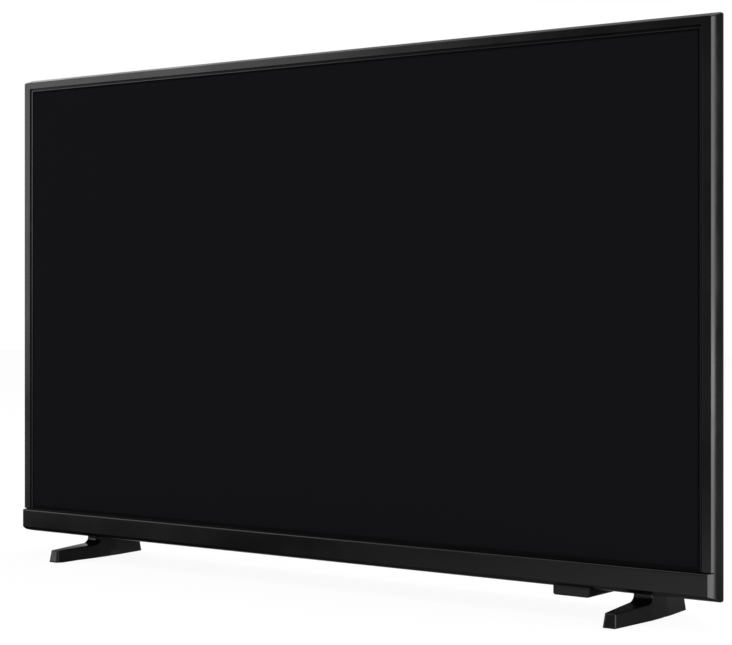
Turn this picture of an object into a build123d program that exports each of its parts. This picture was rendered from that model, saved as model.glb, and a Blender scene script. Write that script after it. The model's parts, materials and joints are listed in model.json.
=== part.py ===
from build123d import *
import math
import os

# A flat television of 31.5 inches on two low feet, built from its separate pieces, in millimetres.
# X runs across the screen, Y from the front to the rear, Z upwards. The origin is on the floor
# under the middle of the set. Most places are written as a depth behind the bezel's face and a
# height above the underside of the cabinet, which the functions deep and high turn into Y and Z.

os.makedirs("parts", exist_ok=True)

# Clearances and overruns that many pieces share
overrun = 2.0
nest_gap = 0.5
slip_gap = 0.2
slide_gap = 0.1
thread_gap = 0.05

# Picture
active_width = 697.7
active_height = 392.3
picture_border = 3.0

# Front bezel: a flared shell with a thin lip round the picture
side_rail = 8.65
top_rail = 7.0
side_flare = 4.0
under_flare = 2.6
rail_depth = 12.2
bezel_lip = 1.0
bezel_wall = 1.6
outline_corner = 1.8
face_round = 0.4
backing_thickness = 1.2

# Lower bar
sill = 21.65
bar_gap = 0.8
bar_proud = 3.2
bar_seat = 3.4
bar_wall = 1.8
bar_brow_round = 1.2
bar_chin_height = 5.33
bar_chin_depth = 4.4

# Stand
leg_length = 110.0
leg_height = 21.5
leg_inset = 56.85
leg_spread = active_width / 2 - leg_inset
toe_reach = 28.3

# Panel
glass_thickness = 0.5
film_thickness = 0.2
glass_margin = 5.75
bond_ledge = 4.0
gasket_thickness = 0.4
gasket_inset = 0.9
front_film_gap = 1.1
rear_film_margin = 2.6

# Source boards under the glass and the driver films that bond them to it
film_count = 6
film_width = 28.0
film_lap = 2.0
driver_film_thickness = 0.1
board_gap_to_glass = 3.0
source_board_height = 8.0
source_board_length = 260.0
source_board_split = 20.0

# Mould frame and light sheets
mould_margin = 2.4
mould_foot = 1.7
mould_ledge = 1.0
mould_wall = 2.0
mould_depth = 9.6
mould_film_gap = 1.0
prism_thickness = 0.3
diffuser_film_thickness = 0.2
plate_thickness = 1.5

# Backlight tray
steel = 0.8
pan_margin = 1.2
pan_slope = 15.0
pan_depth = 17.4

# Light strips and lenses
strip_rows = 3
strip_pitch = 120.0
strip_length = 640.0
strip_width = 14.0
strip_thickness = 1.0
light_count = 8
light_pitch = 80.0
chip_size = 3.5
chip_height = 0.8
lens_radius = 8.0
lens_height = 5.0
lens_cup_radius = 3.4
lens_cup_depth = 1.6
lens_hole_gap = 1.5
reflector_thickness = 0.3
support_columns = 3
support_pitch = 160.0
support_base_radius = 4.0
support_tip_radius = 0.8
support_gap = 0.2

# Rear cover
cover_wall = 2.2
rim_depth = 1.2
cover_depth = 42.0
cover_inset = 22.0
cover_corner = 14.0
hump_depth = 72.0
hump_half_width = 332.0
hump_top = 300.0
hump_draw_in = 16.0
hump_corner = 18.0
hump_round = 4.0

# Wall mount
mount_spacing_x = 200.0
mount_spacing_z = 100.0
mount_height = 215.0
pillar_radius = 5.0
pillar_nose_radius = 4.0
pillar_nose_sink = 0.3
mount_thread_radius = 2.0
mount_thread_depth = 14.0

# Circuit boards and their standoffs
board_thickness = 1.6
standoff_height = 6.0
standoff_radius = 3.0
board_low = 52.0
board_height = 104.0
board_hole_inset = 5.0
main_board_left = -131.5
main_board_width = 143.0
power_board_left = 25.0
power_board_width = 150.0
screw_radius = 1.5
screw_head_radius = 2.8
screw_head_height = 1.8
board_screw_length = 5.0

# Terminal recess, its plate and its sockets
recess_wall = 2.0
recess_width = 65.0
recess_depth_start = 28.0
recess_margin = 2.0
terminal_plate_thickness = 1.0
window_margin = 3.0
window_depth = 20.0

# Wells for the cover's screws, and bosses for the legs
well_radius = 3.9
well_wall = 1.6
well_floor = 1.5
neck_front = 22.0
neck_rear = 64.0
leg_boss_width = 18.0
leg_boss_height = 12.0
leg_boss_inset = 3.0
leg_screw_inset = 11.0
leg_screw_radius = 2.0
leg_screw_bite = 10.0

# Vents in the rear cover
vent_width = 3.0
vent_pitch = 6.4
upper_vent_count = 44
upper_vent_length = 15.0
upper_vent_height = 360.0
middle_vent_count = 24
middle_vent_length = 26.0
middle_vent_heights = (190.0, 226.0)
lower_vent_count = 24
lower_vent_length = 14.0
lower_vent_height = 24.0

# Sockets: each size is across the column, each thickness stands off the board
socket_margin = 3.0
socket_gap = 2.0
socket_room = 24.0
socket_skin = 0.7
tongue_share = 0.28
antenna_size = 13.0
antenna_thickness = 12.0
antenna_length = 16.0
barrel_radius = 4.7
barrel_length = 9.0
barrel_bore_radius = 0.6
network_size = 16.0
network_thickness = 13.4
network_length = 19.0
network_wall = 1.8
network_depth = 13.0
video_size = 15.0
video_thickness = 6.2
video_length = 12.0
video_depth = 9.0
data_size = 13.4
data_thickness = 7.0
data_length = 14.0
data_depth = 11.0
optical_size = 10.0
optical_length = 13.0
shutter_sink = 1.5

# Chips and cans on the main board: from its left edge, from its lower edge, width, height, thickness
processor = (81.5, 56.0, 30.0, 30.0, 2.0)
main_chips = [
    processor,
    (49.5, 23.0, 32.0, 22.0, 8.0),
    (75.5, 26.5, 9.0, 13.0, 1.1),
    (89.0, 26.5, 9.0, 13.0, 1.1),
    (112.0, 50.0, 12.0, 18.0, 1.1),
    (116.0, 22.0, 10.0, 10.0, 1.5),
    (124.0, 86.0, 8.0, 8.0, 1.6),
]
sink_width = 40.0
sink_base = 2.5
sink_fin_height = 9.5
sink_fin_thickness = 1.2
sink_fin_count = 8

# Power board parts: from its left edge and from its lower edge
transformer_place = (60.0, 31.0)
transformer_core = (32.0, 18.0, 20.0)
transformer_coil = (26.0, 26.0, 16.0)
capacitors = [
    (20.0, 24.0, 9.0, 26.0),
    (20.0, 52.0, 9.0, 26.0),
    (98.0, 20.0, 5.0, 16.0),
    (112.0, 20.0, 5.0, 16.0),
    (98.0, 36.0, 5.0, 16.0),
]
fin_place = 86.0
fin_thickness = 2.5
fin_foot = 12.0
fin_heights = (50.0, 92.0)
fin_depth = 24.0

# Connectors and leads
connector_width = 7.2
connector_height = 5.0
connector_thickness = 5.0
connector_inset = 1.0
left_lead_inset = 31.5
ribbon_inset = 51.5
right_lead_inset = 95.5
sensor_lead_inset = 109.5
light_lead_inset = 35.0
supply_connector_height = 20.0
supply_place = 68.0
supply_wires = 5
supply_wire_radius = 0.8
supply_wire_pitch = 3.5
lead_radius = 1.0
lead_depth = 3.6
lead_bend = 4.0
lead_drop = 6.0
link_radius = 0.4
link_place = 300.0
link_pitch = 3.0
ribbon_width = 24.0
ribbon_thickness = 0.2
ribbon_bend = 0.8
ribbon_tail = 4.0
ribbon_rise = 26.0

# Mains inlet and its recess
inlet_height = 120.0
inlet_recess_width = 55.0
inlet_recess_height = 50.0
inlet_size = 26.0
inlet_thickness = 17.0
inlet_length = 20.0
inlet_cavity_width = 17.0
inlet_cavity_height = 9.6
inlet_cavity_depth = 14.0
inlet_pin_radius = 1.2
inlet_pin_spacing = 8.6
inlet_pin_length = 11.0
inlet_pin_root = 4.0

# Loudspeakers
speaker_place = 150.0
speaker_depth = 46.0
speaker_box_width = 110.0
speaker_box_height = 43.8
speaker_box_front = 25.0
speaker_box_depth = 42.0
speaker_wall = 2.0
speaker_floor = 3.0
flange_radius = 19.0
flange_thickness = 1.0
flange_seat = 1.6
basket_radius = 17.5
surround_outer = 16.0
surround_land = 1.6
surround_lip = 1.4
roll_radius = 1.1
surround_thickness = 0.3
cone_height = 6.0
cone_thickness = 0.5
coil_radius = 4.6
coil_wall = 0.4
coil_gap = 0.3
magnet_radius = 9.2
magnet_height = 5.0
yoke_thickness = 1.2
basket_height = 12.4
basket_wall = 0.9
basket_window = 12.0
grille_slots = 9
grille_pitch = 4.4
grille_slot_width = 2.4
grille_slot_length = 34.0

# Sensor and button module under the bar
lead_hole_radius = 2.4
sensor_screw_radius = 1.3
sensor_boss_radius = 2.6
module_width = 32.0
module_inset = 106.1
module_place = active_width / 2 - module_inset
module_front = 1.0
module_length = 39.0
module_drop = 5.3
module_wall = 1.2
module_floor = 1.0
module_corner = 1.8
module_front_wall = 2.0
module_window_thickness = 1.0
module_window_frame = 1.0
module_window_top = 1.0
sensor_board_thickness = 1.0
sensor_board_sink = 0.5
button_length = 18.0
button_width = 10.0
button_proud = 1.0
button_place = 28.0
button_rim = 1.0
button_rim_thickness = 0.5
button_travel = 0.3
switch_size = 6.0
switch_height = 1.4
plunger_radius = 1.0
plunger_length = 1.1
post_radius = 1.8
receiver_width = 6.0
receiver_height = 2.4
receiver_length = 4.0
receiver_setback = 0.6
sensor_screw_length = 6.1
sensor_screw_head_radius = 2.4
sensor_screw_head_height = 1.4
button_round = 0.4

# Legs: half-widths at the toe, the waist, the crest and the heel, measured at the sole
leg_toe_half = 5.4
leg_waist_half = 9.7
leg_crest_half = 10.0
leg_heel_half = 6.7
leg_waist_lead = 2.0
leg_crest_back = 22.7
leg_side_lean = 2.0
leg_front_lean = 3.5
leg_rear_lean = 3.0
leg_front_corner = 1.4
leg_rear_corner = 2.0
leg_side_round = 30.0
toe_height = 11.3
toe_neck_height = 13.3
neck_width = 19.0
neck_corner = 5.9
neck_blend = 5.0
heel_height = 11.5
heel_inset = 3.0
leg_screw_seat = 9.0
leg_screw_head_radius = 3.6
leg_screw_head_height = 2.6
leg_counterbore_radius = 4.0
pad_length = 20.0
pad_width = 7.0
pad_thickness = 1.2
pad_sink = 0.4
pad_front_inset = 16.0
pad_rear_inset = 12.0


# The picture's and the bezel's outlines
opening_width = active_width + 2 * picture_border
active_low = sill + picture_border
active_top = active_low + active_height
active_middle = (active_low + active_top) / 2
opening_top = active_top + picture_border
front_width = opening_width + 2 * side_rail
front_top = opening_top + top_rail
face_y = toe_reach - leg_length / 2


def deep(behind):
    """Give the Y of a depth behind the bezel's face."""
    return face_y + behind


def high(height):
    """Give the Z of a height above the cabinet's underside."""
    return leg_height + height


def half_width(behind):
    """Give half the cabinet's width at a depth behind the face."""
    return front_width / 2 + side_flare * behind / rail_depth


def underside(behind):
    """Give the height of the bezel's underside at a depth behind the face."""
    return under_flare * (1 - behind / rail_depth)


def top_edge(behind):
    """Give the height of the bezel's top at a depth behind the face."""
    return front_top + side_flare * behind / rail_depth


def upright(behind):
    """Give an upright plane facing the viewer, with its drawing along X and Z."""
    return Plane(origin=(0, deep(behind), 0), x_dir=(1, 0, 0), z_dir=(0, -1, 0))


def side_view(place):
    """Give an upright plane across X, with its drawing along Y and Z."""
    return Plane(origin=(place, 0, 0), x_dir=(0, 1, 0), z_dir=(1, 0, 0))


def block(across, depths, heights, mode=Mode.ADD):
    """Add a box from its spans across, behind the face and above the underside."""
    middle = (sum(across) / 2, deep(sum(depths) / 2), high(sum(heights) / 2))
    with Locations(middle):
        Box(across[1] - across[0], depths[1] - depths[0], heights[1] - heights[0], mode=mode)


def round_post(place, height, radius, depths, mode=Mode.ADD, tip=None):
    """Add a cylinder or a cone along the depth, from the first depth to the second."""
    with Locations((place, deep(sum(depths) / 2), high(height))):
        length = depths[1] - depths[0]
        if tip is None:
            Cylinder(radius, length, rotation=(90, 0, 0), mode=mode)
        else:
            Cone(radius, tip, length, rotation=(90, 0, 0), mode=mode)


def upright_post(place, depth, radius, heights, mode=Mode.ADD):
    """Add a cylinder along Z between two heights."""
    with Locations((place, deep(depth), high(sum(heights) / 2))):
        Cylinder(radius, heights[1] - heights[0], mode=mode)


def cross_post(span, depth, height, radius, mode=Mode.ADD):
    """Add a cylinder along X between two places."""
    with Locations((sum(span) / 2, deep(depth), high(height))):
        Cylinder(radius, span[1] - span[0], rotation=(0, 90, 0), mode=mode)


def outline_face(behind, inset=0.0):
    """Draw the flared outline of the cabinet at a depth, drawn in by an inset."""
    low = underside(behind) + inset
    top = top_edge(behind) - inset
    with BuildSketch(upright(behind)) as outline:
        with Locations((0, high((low + top) / 2))):
            RectangleRounded(2 * (half_width(behind) - inset), top - low, outline_corner)
    return outline.sketch


def frame_face(behind, width, low, top, corner):
    """Draw a rounded rectangle, centred across, between two heights at a depth."""
    with BuildSketch(upright(behind)) as section:
        with Locations((0, high((low + top) / 2))):
            RectangleRounded(width, top - low, corner)
    return section.sketch


# Panel stack: the depth of each layer's front
glass_front = bezel_lip + gasket_thickness
front_film_front = glass_front - film_thickness
rear_glass_front = glass_front + glass_thickness
mould_front = rear_glass_front + glass_thickness
prism_front = mould_front + mould_ledge
diffuser_film_front = prism_front + prism_thickness
plate_front = diffuser_film_front + diffuser_film_thickness
tray_front = plate_front + plate_thickness
tray_floor = tray_front + pan_depth - steel
tray_back = tray_front + pan_depth
strip_front = tray_floor - strip_thickness
reflector_front = strip_front - reflector_thickness
glass_half = active_width / 2 + glass_margin
glass_low = active_low - glass_margin
glass_top = active_top + glass_margin
ledge_low = glass_low - bond_ledge
mould_low = ledge_low - mould_foot
source_board_top = ledge_low - board_gap_to_glass
source_board_low = source_board_top - source_board_height

# Front bezel
with BuildPart() as front_bezel:
    loft([outline_face(0), outline_face(rail_depth)], ruled=True)
    face_edges = front_bezel.faces().sort_by(Axis.Y)[0].edges()
    fillet(face_edges, face_round)
    hollow_ends = [outline_face(bezel_lip, bezel_wall), outline_face(rail_depth, bezel_wall)]
    loft(hollow_ends, ruled=True, mode=Mode.SUBTRACT)
    opening = (-opening_width / 2, opening_width / 2)
    block(opening, (-overrun, bezel_lip + overrun), (sill, opening_top), Mode.SUBTRACT)
    everything = (-half_width(rail_depth), half_width(rail_depth))
    block(everything, (-overrun, bar_seat), (-overrun, sill + bar_gap), Mode.SUBTRACT)
    backing_half = half_width(bar_seat) - bezel_wall / 2
    backing_span = (bar_seat, bar_seat + backing_thickness)
    backing_low = underside(bar_seat) + bezel_wall / 2
    block((-backing_half, backing_half), backing_span, (backing_low, mould_low - nest_gap))
front_bezel.part.label = "front_bezel"
export_step(front_bezel.part, "parts/front_bezel.step")

# Lower bar: a side profile that the flared ends trim
with BuildPart() as lower_bar:
    loft([outline_face(-bar_proud), outline_face(bar_seat)], ruled=True)
    chin = bar_chin_depth - bar_proud
    with BuildSketch(side_view(0)):
        with BuildLine():
            Polyline(
                (deep(-bar_proud), high(bar_chin_height)),
                (deep(-bar_proud), high(sill)),
                (deep(bar_seat), high(sill)),
                (deep(bar_seat), high(underside(bar_seat))),
                (deep(chin), high(underside(chin))),
                close=True,
            )
        make_face()
    extrude(amount=half_width(rail_depth), both=True, mode=Mode.INTERSECT)
    brow = lower_bar.edges().filter_by(Axis.X).group_by(Axis.Z)[-1].sort_by(Axis.Y)[0]
    fillet(brow, bar_brow_round)
    hollow_half = half_width(-bar_proud) - bar_wall
    hollow_depths = (bar_wall - bar_proud, bar_seat + overrun)
    hollow_heights = (bar_chin_height + bar_wall / 2, sill - bar_wall)
    block((-hollow_half, hollow_half), hollow_depths, hollow_heights, Mode.SUBTRACT)
    notch_half = glass_half + mould_margin + slip_gap
    notch_depths = (front_film_front - slip_gap, bar_seat + overrun)
    block((-notch_half, notch_half), notch_depths, (hollow_heights[0], sill + overrun), Mode.SUBTRACT)
    board_half = source_board_split / 2 + source_board_length + slip_gap
    board_room = (source_board_low - slip_gap, hollow_heights[1])
    board_notch = (rear_glass_front - slip_gap, bar_seat + overrun)
    block((-board_half, board_half), board_notch, board_room, Mode.SUBTRACT)
lower_bar.part.label = "lower_bar"
export_step(lower_bar.part, "parts/lower_bar.step")


# Panel
def flat_sheet(half, heights, front, thickness, mode=Mode.ADD):
    """Add an upright sheet centred across the set."""
    block((-half, half), (front, front + thickness), heights, mode)


with BuildPart() as front_polarizer:
    film_heights = (sill + front_film_gap, opening_top - front_film_gap)
    flat_sheet(opening_width / 2 - front_film_gap, film_heights, front_film_front, film_thickness)
front_polarizer.part.label = "front_polarizer"
export_step(front_polarizer.part, "parts/front_polarizer.step")

with BuildPart() as colour_filter_glass:
    flat_sheet(glass_half, (glass_low, glass_top), glass_front, glass_thickness)
colour_filter_glass.part.label = "colour_filter_glass"
export_step(colour_filter_glass.part, "parts/colour_filter_glass.step")

with BuildPart() as transistor_glass:
    flat_sheet(glass_half, (ledge_low, glass_top), rear_glass_front, glass_thickness)
transistor_glass.part.label = "transistor_glass"
export_step(transistor_glass.part, "parts/transistor_glass.step")

rear_film_half = active_width / 2 + rear_film_margin
rear_film_heights = (active_low - rear_film_margin, active_top + rear_film_margin)
with BuildPart() as rear_polarizer:
    flat_sheet(rear_film_half, rear_film_heights, mould_front, film_thickness)
rear_polarizer.part.label = "rear_polarizer"
export_step(rear_polarizer.part, "parts/rear_polarizer.step")

with BuildPart() as panel_gasket:
    gasket_low = sill + bar_gap
    flat_sheet(glass_half, (gasket_low, glass_top), bezel_lip, gasket_thickness)
    gasket_inner = opening_width / 2 + gasket_inset
    gasket_cut = (gasket_low - overrun, opening_top + gasket_inset)
    cut_thickness = 2 * overrun + gasket_thickness
    flat_sheet(gasket_inner, gasket_cut, bezel_lip - overrun, cut_thickness, Mode.SUBTRACT)
panel_gasket.part.label = "panel_gasket"
export_step(panel_gasket.part, "parts/panel_gasket.step")

# Source boards and driver films
with BuildPart() as source_boards:
    for side in (-1, 1):
        inner = side * source_board_split / 2
        outer = inner + side * source_board_length
        board_span = (min(inner, outer), max(inner, outer))
        block(board_span, (rear_glass_front, bar_seat), (source_board_low, source_board_top))
source_boards.part.label = "source_boards"
export_step(source_boards.part, "parts/source_boards.step")

film_pitch = 2 * source_board_length / film_count
with BuildPart() as driver_films:
    for index in range(film_count):
        middle = (index - (film_count - 1) / 2) * film_pitch
        film_depths = (rear_glass_front - driver_film_thickness, rear_glass_front)
        film_span = (middle - film_width / 2, middle + film_width / 2)
        block(film_span, film_depths, (source_board_top - film_lap, ledge_low + film_lap))
driver_films.part.label = "driver_films"
export_step(driver_films.part, "parts/driver_films.step")

# Mould frame: a ledge that carries the glass, and a wall round the light sheets
mould_half = glass_half + mould_margin
mould_top = glass_top + mould_margin
with BuildPart() as mould_frame:
    flat_sheet(mould_half, (mould_low, mould_top), mould_front, mould_depth)
    hole_half = rear_film_half + mould_film_gap
    hole_heights = (rear_film_heights[0] - mould_film_gap, rear_film_heights[1] + mould_film_gap)
    flat_sheet(hole_half, hole_heights, mould_front - overrun, 2 * overrun, Mode.SUBTRACT)
    room_heights = (mould_low + mould_wall, mould_top - mould_wall)
    flat_sheet(mould_half - mould_wall, room_heights, prism_front, mould_depth, Mode.SUBTRACT)
mould_frame.part.label = "mould_frame"
export_step(mould_frame.part, "parts/mould_frame.step")

sheet_half = mould_half - mould_wall - nest_gap / 2
sheet_heights = (room_heights[0] + nest_gap / 2, room_heights[1] - nest_gap / 2)
with BuildPart() as prism_sheet:
    flat_sheet(sheet_half, sheet_heights, prism_front, prism_thickness)
prism_sheet.part.label = "prism_sheet"
export_step(prism_sheet.part, "parts/prism_sheet.step")

with BuildPart() as diffuser_sheet:
    flat_sheet(sheet_half, sheet_heights, diffuser_film_front, diffuser_film_thickness)
diffuser_sheet.part.label = "diffuser_sheet"
export_step(diffuser_sheet.part, "parts/diffuser_sheet.step")

with BuildPart() as diffuser_plate:
    flat_sheet(sheet_half, sheet_heights, plate_front, plate_thickness)
diffuser_plate.part.label = "diffuser_plate"
export_step(diffuser_plate.part, "parts/diffuser_plate.step")

# Backlight tray: a flange, four sloping sides and a floor, all of one steel sheet
pan_half = active_width / 2 + pan_margin
pan_half_height = active_height / 2 + pan_margin


def pan_face(behind, draw_in, skin):
    """Draw one end of the tray's pan, drawn in from its mouth and grown by a skin."""
    low = active_middle - pan_half_height + draw_in - skin
    top = active_middle + pan_half_height - draw_in + skin
    with BuildSketch(upright(behind)) as mouth:
        with Locations((0, high((low + top) / 2))):
            Rectangle(2 * (pan_half - draw_in + skin), top - low)
    return mouth.sketch


# Fixings of the rear cover: places across, heights, and whether each is in the deep part
cover_fixing_shares = [(-0.86, 0.905), (0, 0.905), (0.86, 0.905)]
deep_fixing_shares = [(-0.86, 0.56), (0.86, 0.56), (-0.86, 0.13), (0.86, 0.13)]
shallow_fixings = [(a * front_width / 2, b * front_top) for a, b in cover_fixing_shares]
deep_fixings = [(a * front_width / 2, b * front_top) for a, b in deep_fixing_shares]
cover_fixings = shallow_fixings + deep_fixings
mount_places = [
    (x * mount_spacing_x / 2, mount_height + z * mount_spacing_z / 2) for x in (-1, 1) for z in (-1, 1)
]
cover_screw_radius = 1.45
cover_screw_tip = 0.7
cover_screw_head_radius = 3.3
cover_screw_head_height = 2.2

with BuildPart() as backlight_tray:
    loft([pan_face(tray_front, 0, steel), pan_face(tray_back, pan_slope, steel)], ruled=True)
    flat_sheet(sheet_half, sheet_heights, tray_front, steel)
    pan_ends = [pan_face(tray_front, 0, 0), pan_face(tray_floor, pan_slope, 0)]
    loft(pan_ends, ruled=True, mode=Mode.SUBTRACT)
    for place, height in cover_fixings:
        hole_depths = (tray_floor - overrun, tray_back + overrun)
        round_post(place, height, cover_screw_radius + thread_gap, hole_depths, Mode.SUBTRACT)
    light_lead_place = power_board_left + light_lead_inset
    round_post(light_lead_place, active_middle, lead_radius + slip_gap, hole_depths, Mode.SUBTRACT)
backlight_tray.part.label = "backlight_tray"
export_step(backlight_tray.part, "parts/backlight_tray.step")

# Light strips, each with its row of chips
light_places = [
    (
        (column - (light_count - 1) / 2) * light_pitch,
        active_middle + (row - (strip_rows - 1) / 2) * strip_pitch,
    )
    for row in range(strip_rows)
    for column in range(light_count)
]
with BuildPart() as led_strips:
    for row in range(strip_rows):
        middle = active_middle + (row - (strip_rows - 1) / 2) * strip_pitch
        strip_heights = (middle - strip_width / 2, middle + strip_width / 2)
        flat_sheet(strip_length / 2, strip_heights, strip_front, strip_thickness)
    for place, height in light_places:
        chip_span = (place - chip_size / 2, place + chip_size / 2)
        chip_heights = (height - chip_size / 2, height + chip_size / 2)
        block(chip_span, (strip_front - chip_height, strip_front), chip_heights)
led_strips.part.label = "led_strips"
export_step(led_strips.part, "parts/led_strips.step")

with BuildPart() as reflector_sheet:
    reflector_half = pan_half - pan_slope - nest_gap
    reflector_half_height = pan_half_height - pan_slope - nest_gap
    reflector_heights = (active_middle - reflector_half_height, active_middle + reflector_half_height)
    flat_sheet(reflector_half, reflector_heights, reflector_front, reflector_thickness)
    for place, height in light_places:
        hole_depths = (reflector_front - overrun, strip_front + overrun)
        round_post(place, height, lens_radius + lens_hole_gap, hole_depths, Mode.SUBTRACT)
reflector_sheet.part.label = "reflector_sheet"
export_step(reflector_sheet.part, "parts/reflector_sheet.step")

with BuildPart() as led_lenses:
    dome = (lens_radius**2 + lens_height**2) / (2 * lens_height)
    half_turn = math.asin(lens_radius / dome) / 2
    crown = (dome * math.sin(half_turn), dome - lens_height - dome * math.cos(half_turn))
    for place, height in light_places:
        with BuildSketch(Plane(origin=(place, deep(strip_front), high(height)), z_dir=(0, 0, 1))):
            with BuildLine():
                Polyline(
                    (0, -lens_height),
                    (0, -lens_cup_depth),
                    (lens_cup_radius, -lens_cup_depth),
                    (lens_cup_radius, 0),
                    (lens_radius, 0),
                )
                ThreePointArc((lens_radius, 0), crown, (0, -lens_height))
            make_face()
        revolve(axis=Axis((place, deep(strip_front), high(height)), (0, 1, 0)))
led_lenses.part.label = "led_lenses"
export_step(led_lenses.part, "parts/led_lenses.step")

with BuildPart() as diffuser_supports:
    for row in range(strip_rows - 1):
        for column in range(support_columns):
            place = (column - (support_columns - 1) / 2) * support_pitch
            height = active_middle + (row - (strip_rows - 2) / 2) * strip_pitch
            support_depths = (tray_front + support_gap, reflector_front)
            round_post(place, height, support_base_radius, support_depths, tip=support_tip_radius)
diffuser_supports.part.label = "diffuser_supports"
export_step(diffuser_supports.part, "parts/diffuser_supports.step")

# Places of the boards behind the tray, and of the recesses in the rear cover
board_front = tray_back + standoff_height
board_back = board_front + board_thickness
board_top = board_low + board_height
main_board_right = main_board_left + main_board_width
power_board_right = power_board_left + power_board_width
plate_outer = main_board_left - nest_gap - terminal_plate_thickness
recess_inner = plate_outer - recess_wall
recess_outer = recess_inner - recess_width
recess_heights = (board_low - recess_margin, board_top + recess_margin)
inlet_inner = power_board_right + nest_gap + recess_wall
inlet_outer = inlet_inner + inlet_recess_width
inlet_heights = (inlet_height - inlet_recess_height / 2, inlet_height + inlet_recess_height / 2)
recess_depths = (recess_depth_start, hump_depth + overrun)
leg_screw_depths = (neck_front + leg_screw_inset, neck_rear - leg_screw_inset)
module_rear = module_front + module_length
lead_hole_place = module_place + module_width / 4
lead_hole_depth = module_rear - module_wall - 2 * lead_hole_radius
boss_shift = module_width / 2 - module_wall - sensor_boss_radius - nest_gap
sensor_screw_places = (module_place - boss_shift, module_place + boss_shift)
sensor_screw_depth = module_front + module_length / 2 + sensor_boss_radius
well_seat = tray_back + well_floor


def cover_form(shrink):
    """Make the rear cover's filled form, drawn in by a shrink on every side but the front."""
    rim = rail_depth + rim_depth
    top = top_edge(rail_depth) - shrink
    wide = 2 * (half_width(rail_depth) - shrink)
    narrow = wide - 2 * cover_inset
    lid = hump_top - shrink
    swell = hump_draw_in / 2
    hump_wide = 2 * (hump_half_width - shrink)
    with BuildPart() as form:
        extrude(frame_face(rail_depth, wide, shrink, top, outline_corner), amount=-rim_depth)
        shell_front = frame_face(rim, wide, shrink, top, outline_corner)
        shell_end = cover_depth - shrink
        shell_corner = cover_corner - shrink
        shell_back = frame_face(shell_end, narrow, shrink, top - cover_inset, shell_corner)
        loft([shell_front, shell_back], ruled=True)
        hump_front = frame_face(rim, hump_wide + swell, shrink, lid + swell, hump_corner)
        hump_end = hump_depth - shrink
        narrow_hump = hump_wide - hump_draw_in
        hump_back = frame_face(hump_end, narrow_hump, shrink, lid - hump_draw_in, hump_corner)
        loft([hump_front, hump_back], ruled=True)
    return form.part


def grown(span, margin):
    """Widen a span by a margin at both ends."""
    return (span[0] - margin, span[1] + margin)


with BuildPart() as cover_cavity:
    add(cover_form(cover_wall))
    recess_walls = grown((recess_outer, recess_inner), recess_wall)
    wall_depths = (recess_depth_start - recess_wall, hump_depth)
    block(recess_walls, wall_depths, grown(recess_heights, recess_wall), Mode.SUBTRACT)
    inlet_walls = grown((inlet_inner, inlet_outer), recess_wall)
    block(inlet_walls, wall_depths, grown(inlet_heights, recess_wall), Mode.SUBTRACT)
    for place, height in cover_fixings:
        round_post(place, height, well_radius + well_wall, (tray_back, hump_depth), Mode.SUBTRACT)
    for side in (-1, 1):
        boss_span = grown((side * leg_spread, side * leg_spread), leg_boss_width / 2)
        boss_depths = (neck_front + leg_boss_inset, neck_rear - leg_boss_inset)
        block(boss_span, boss_depths, (0, cover_wall + leg_boss_height), Mode.SUBTRACT)

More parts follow.
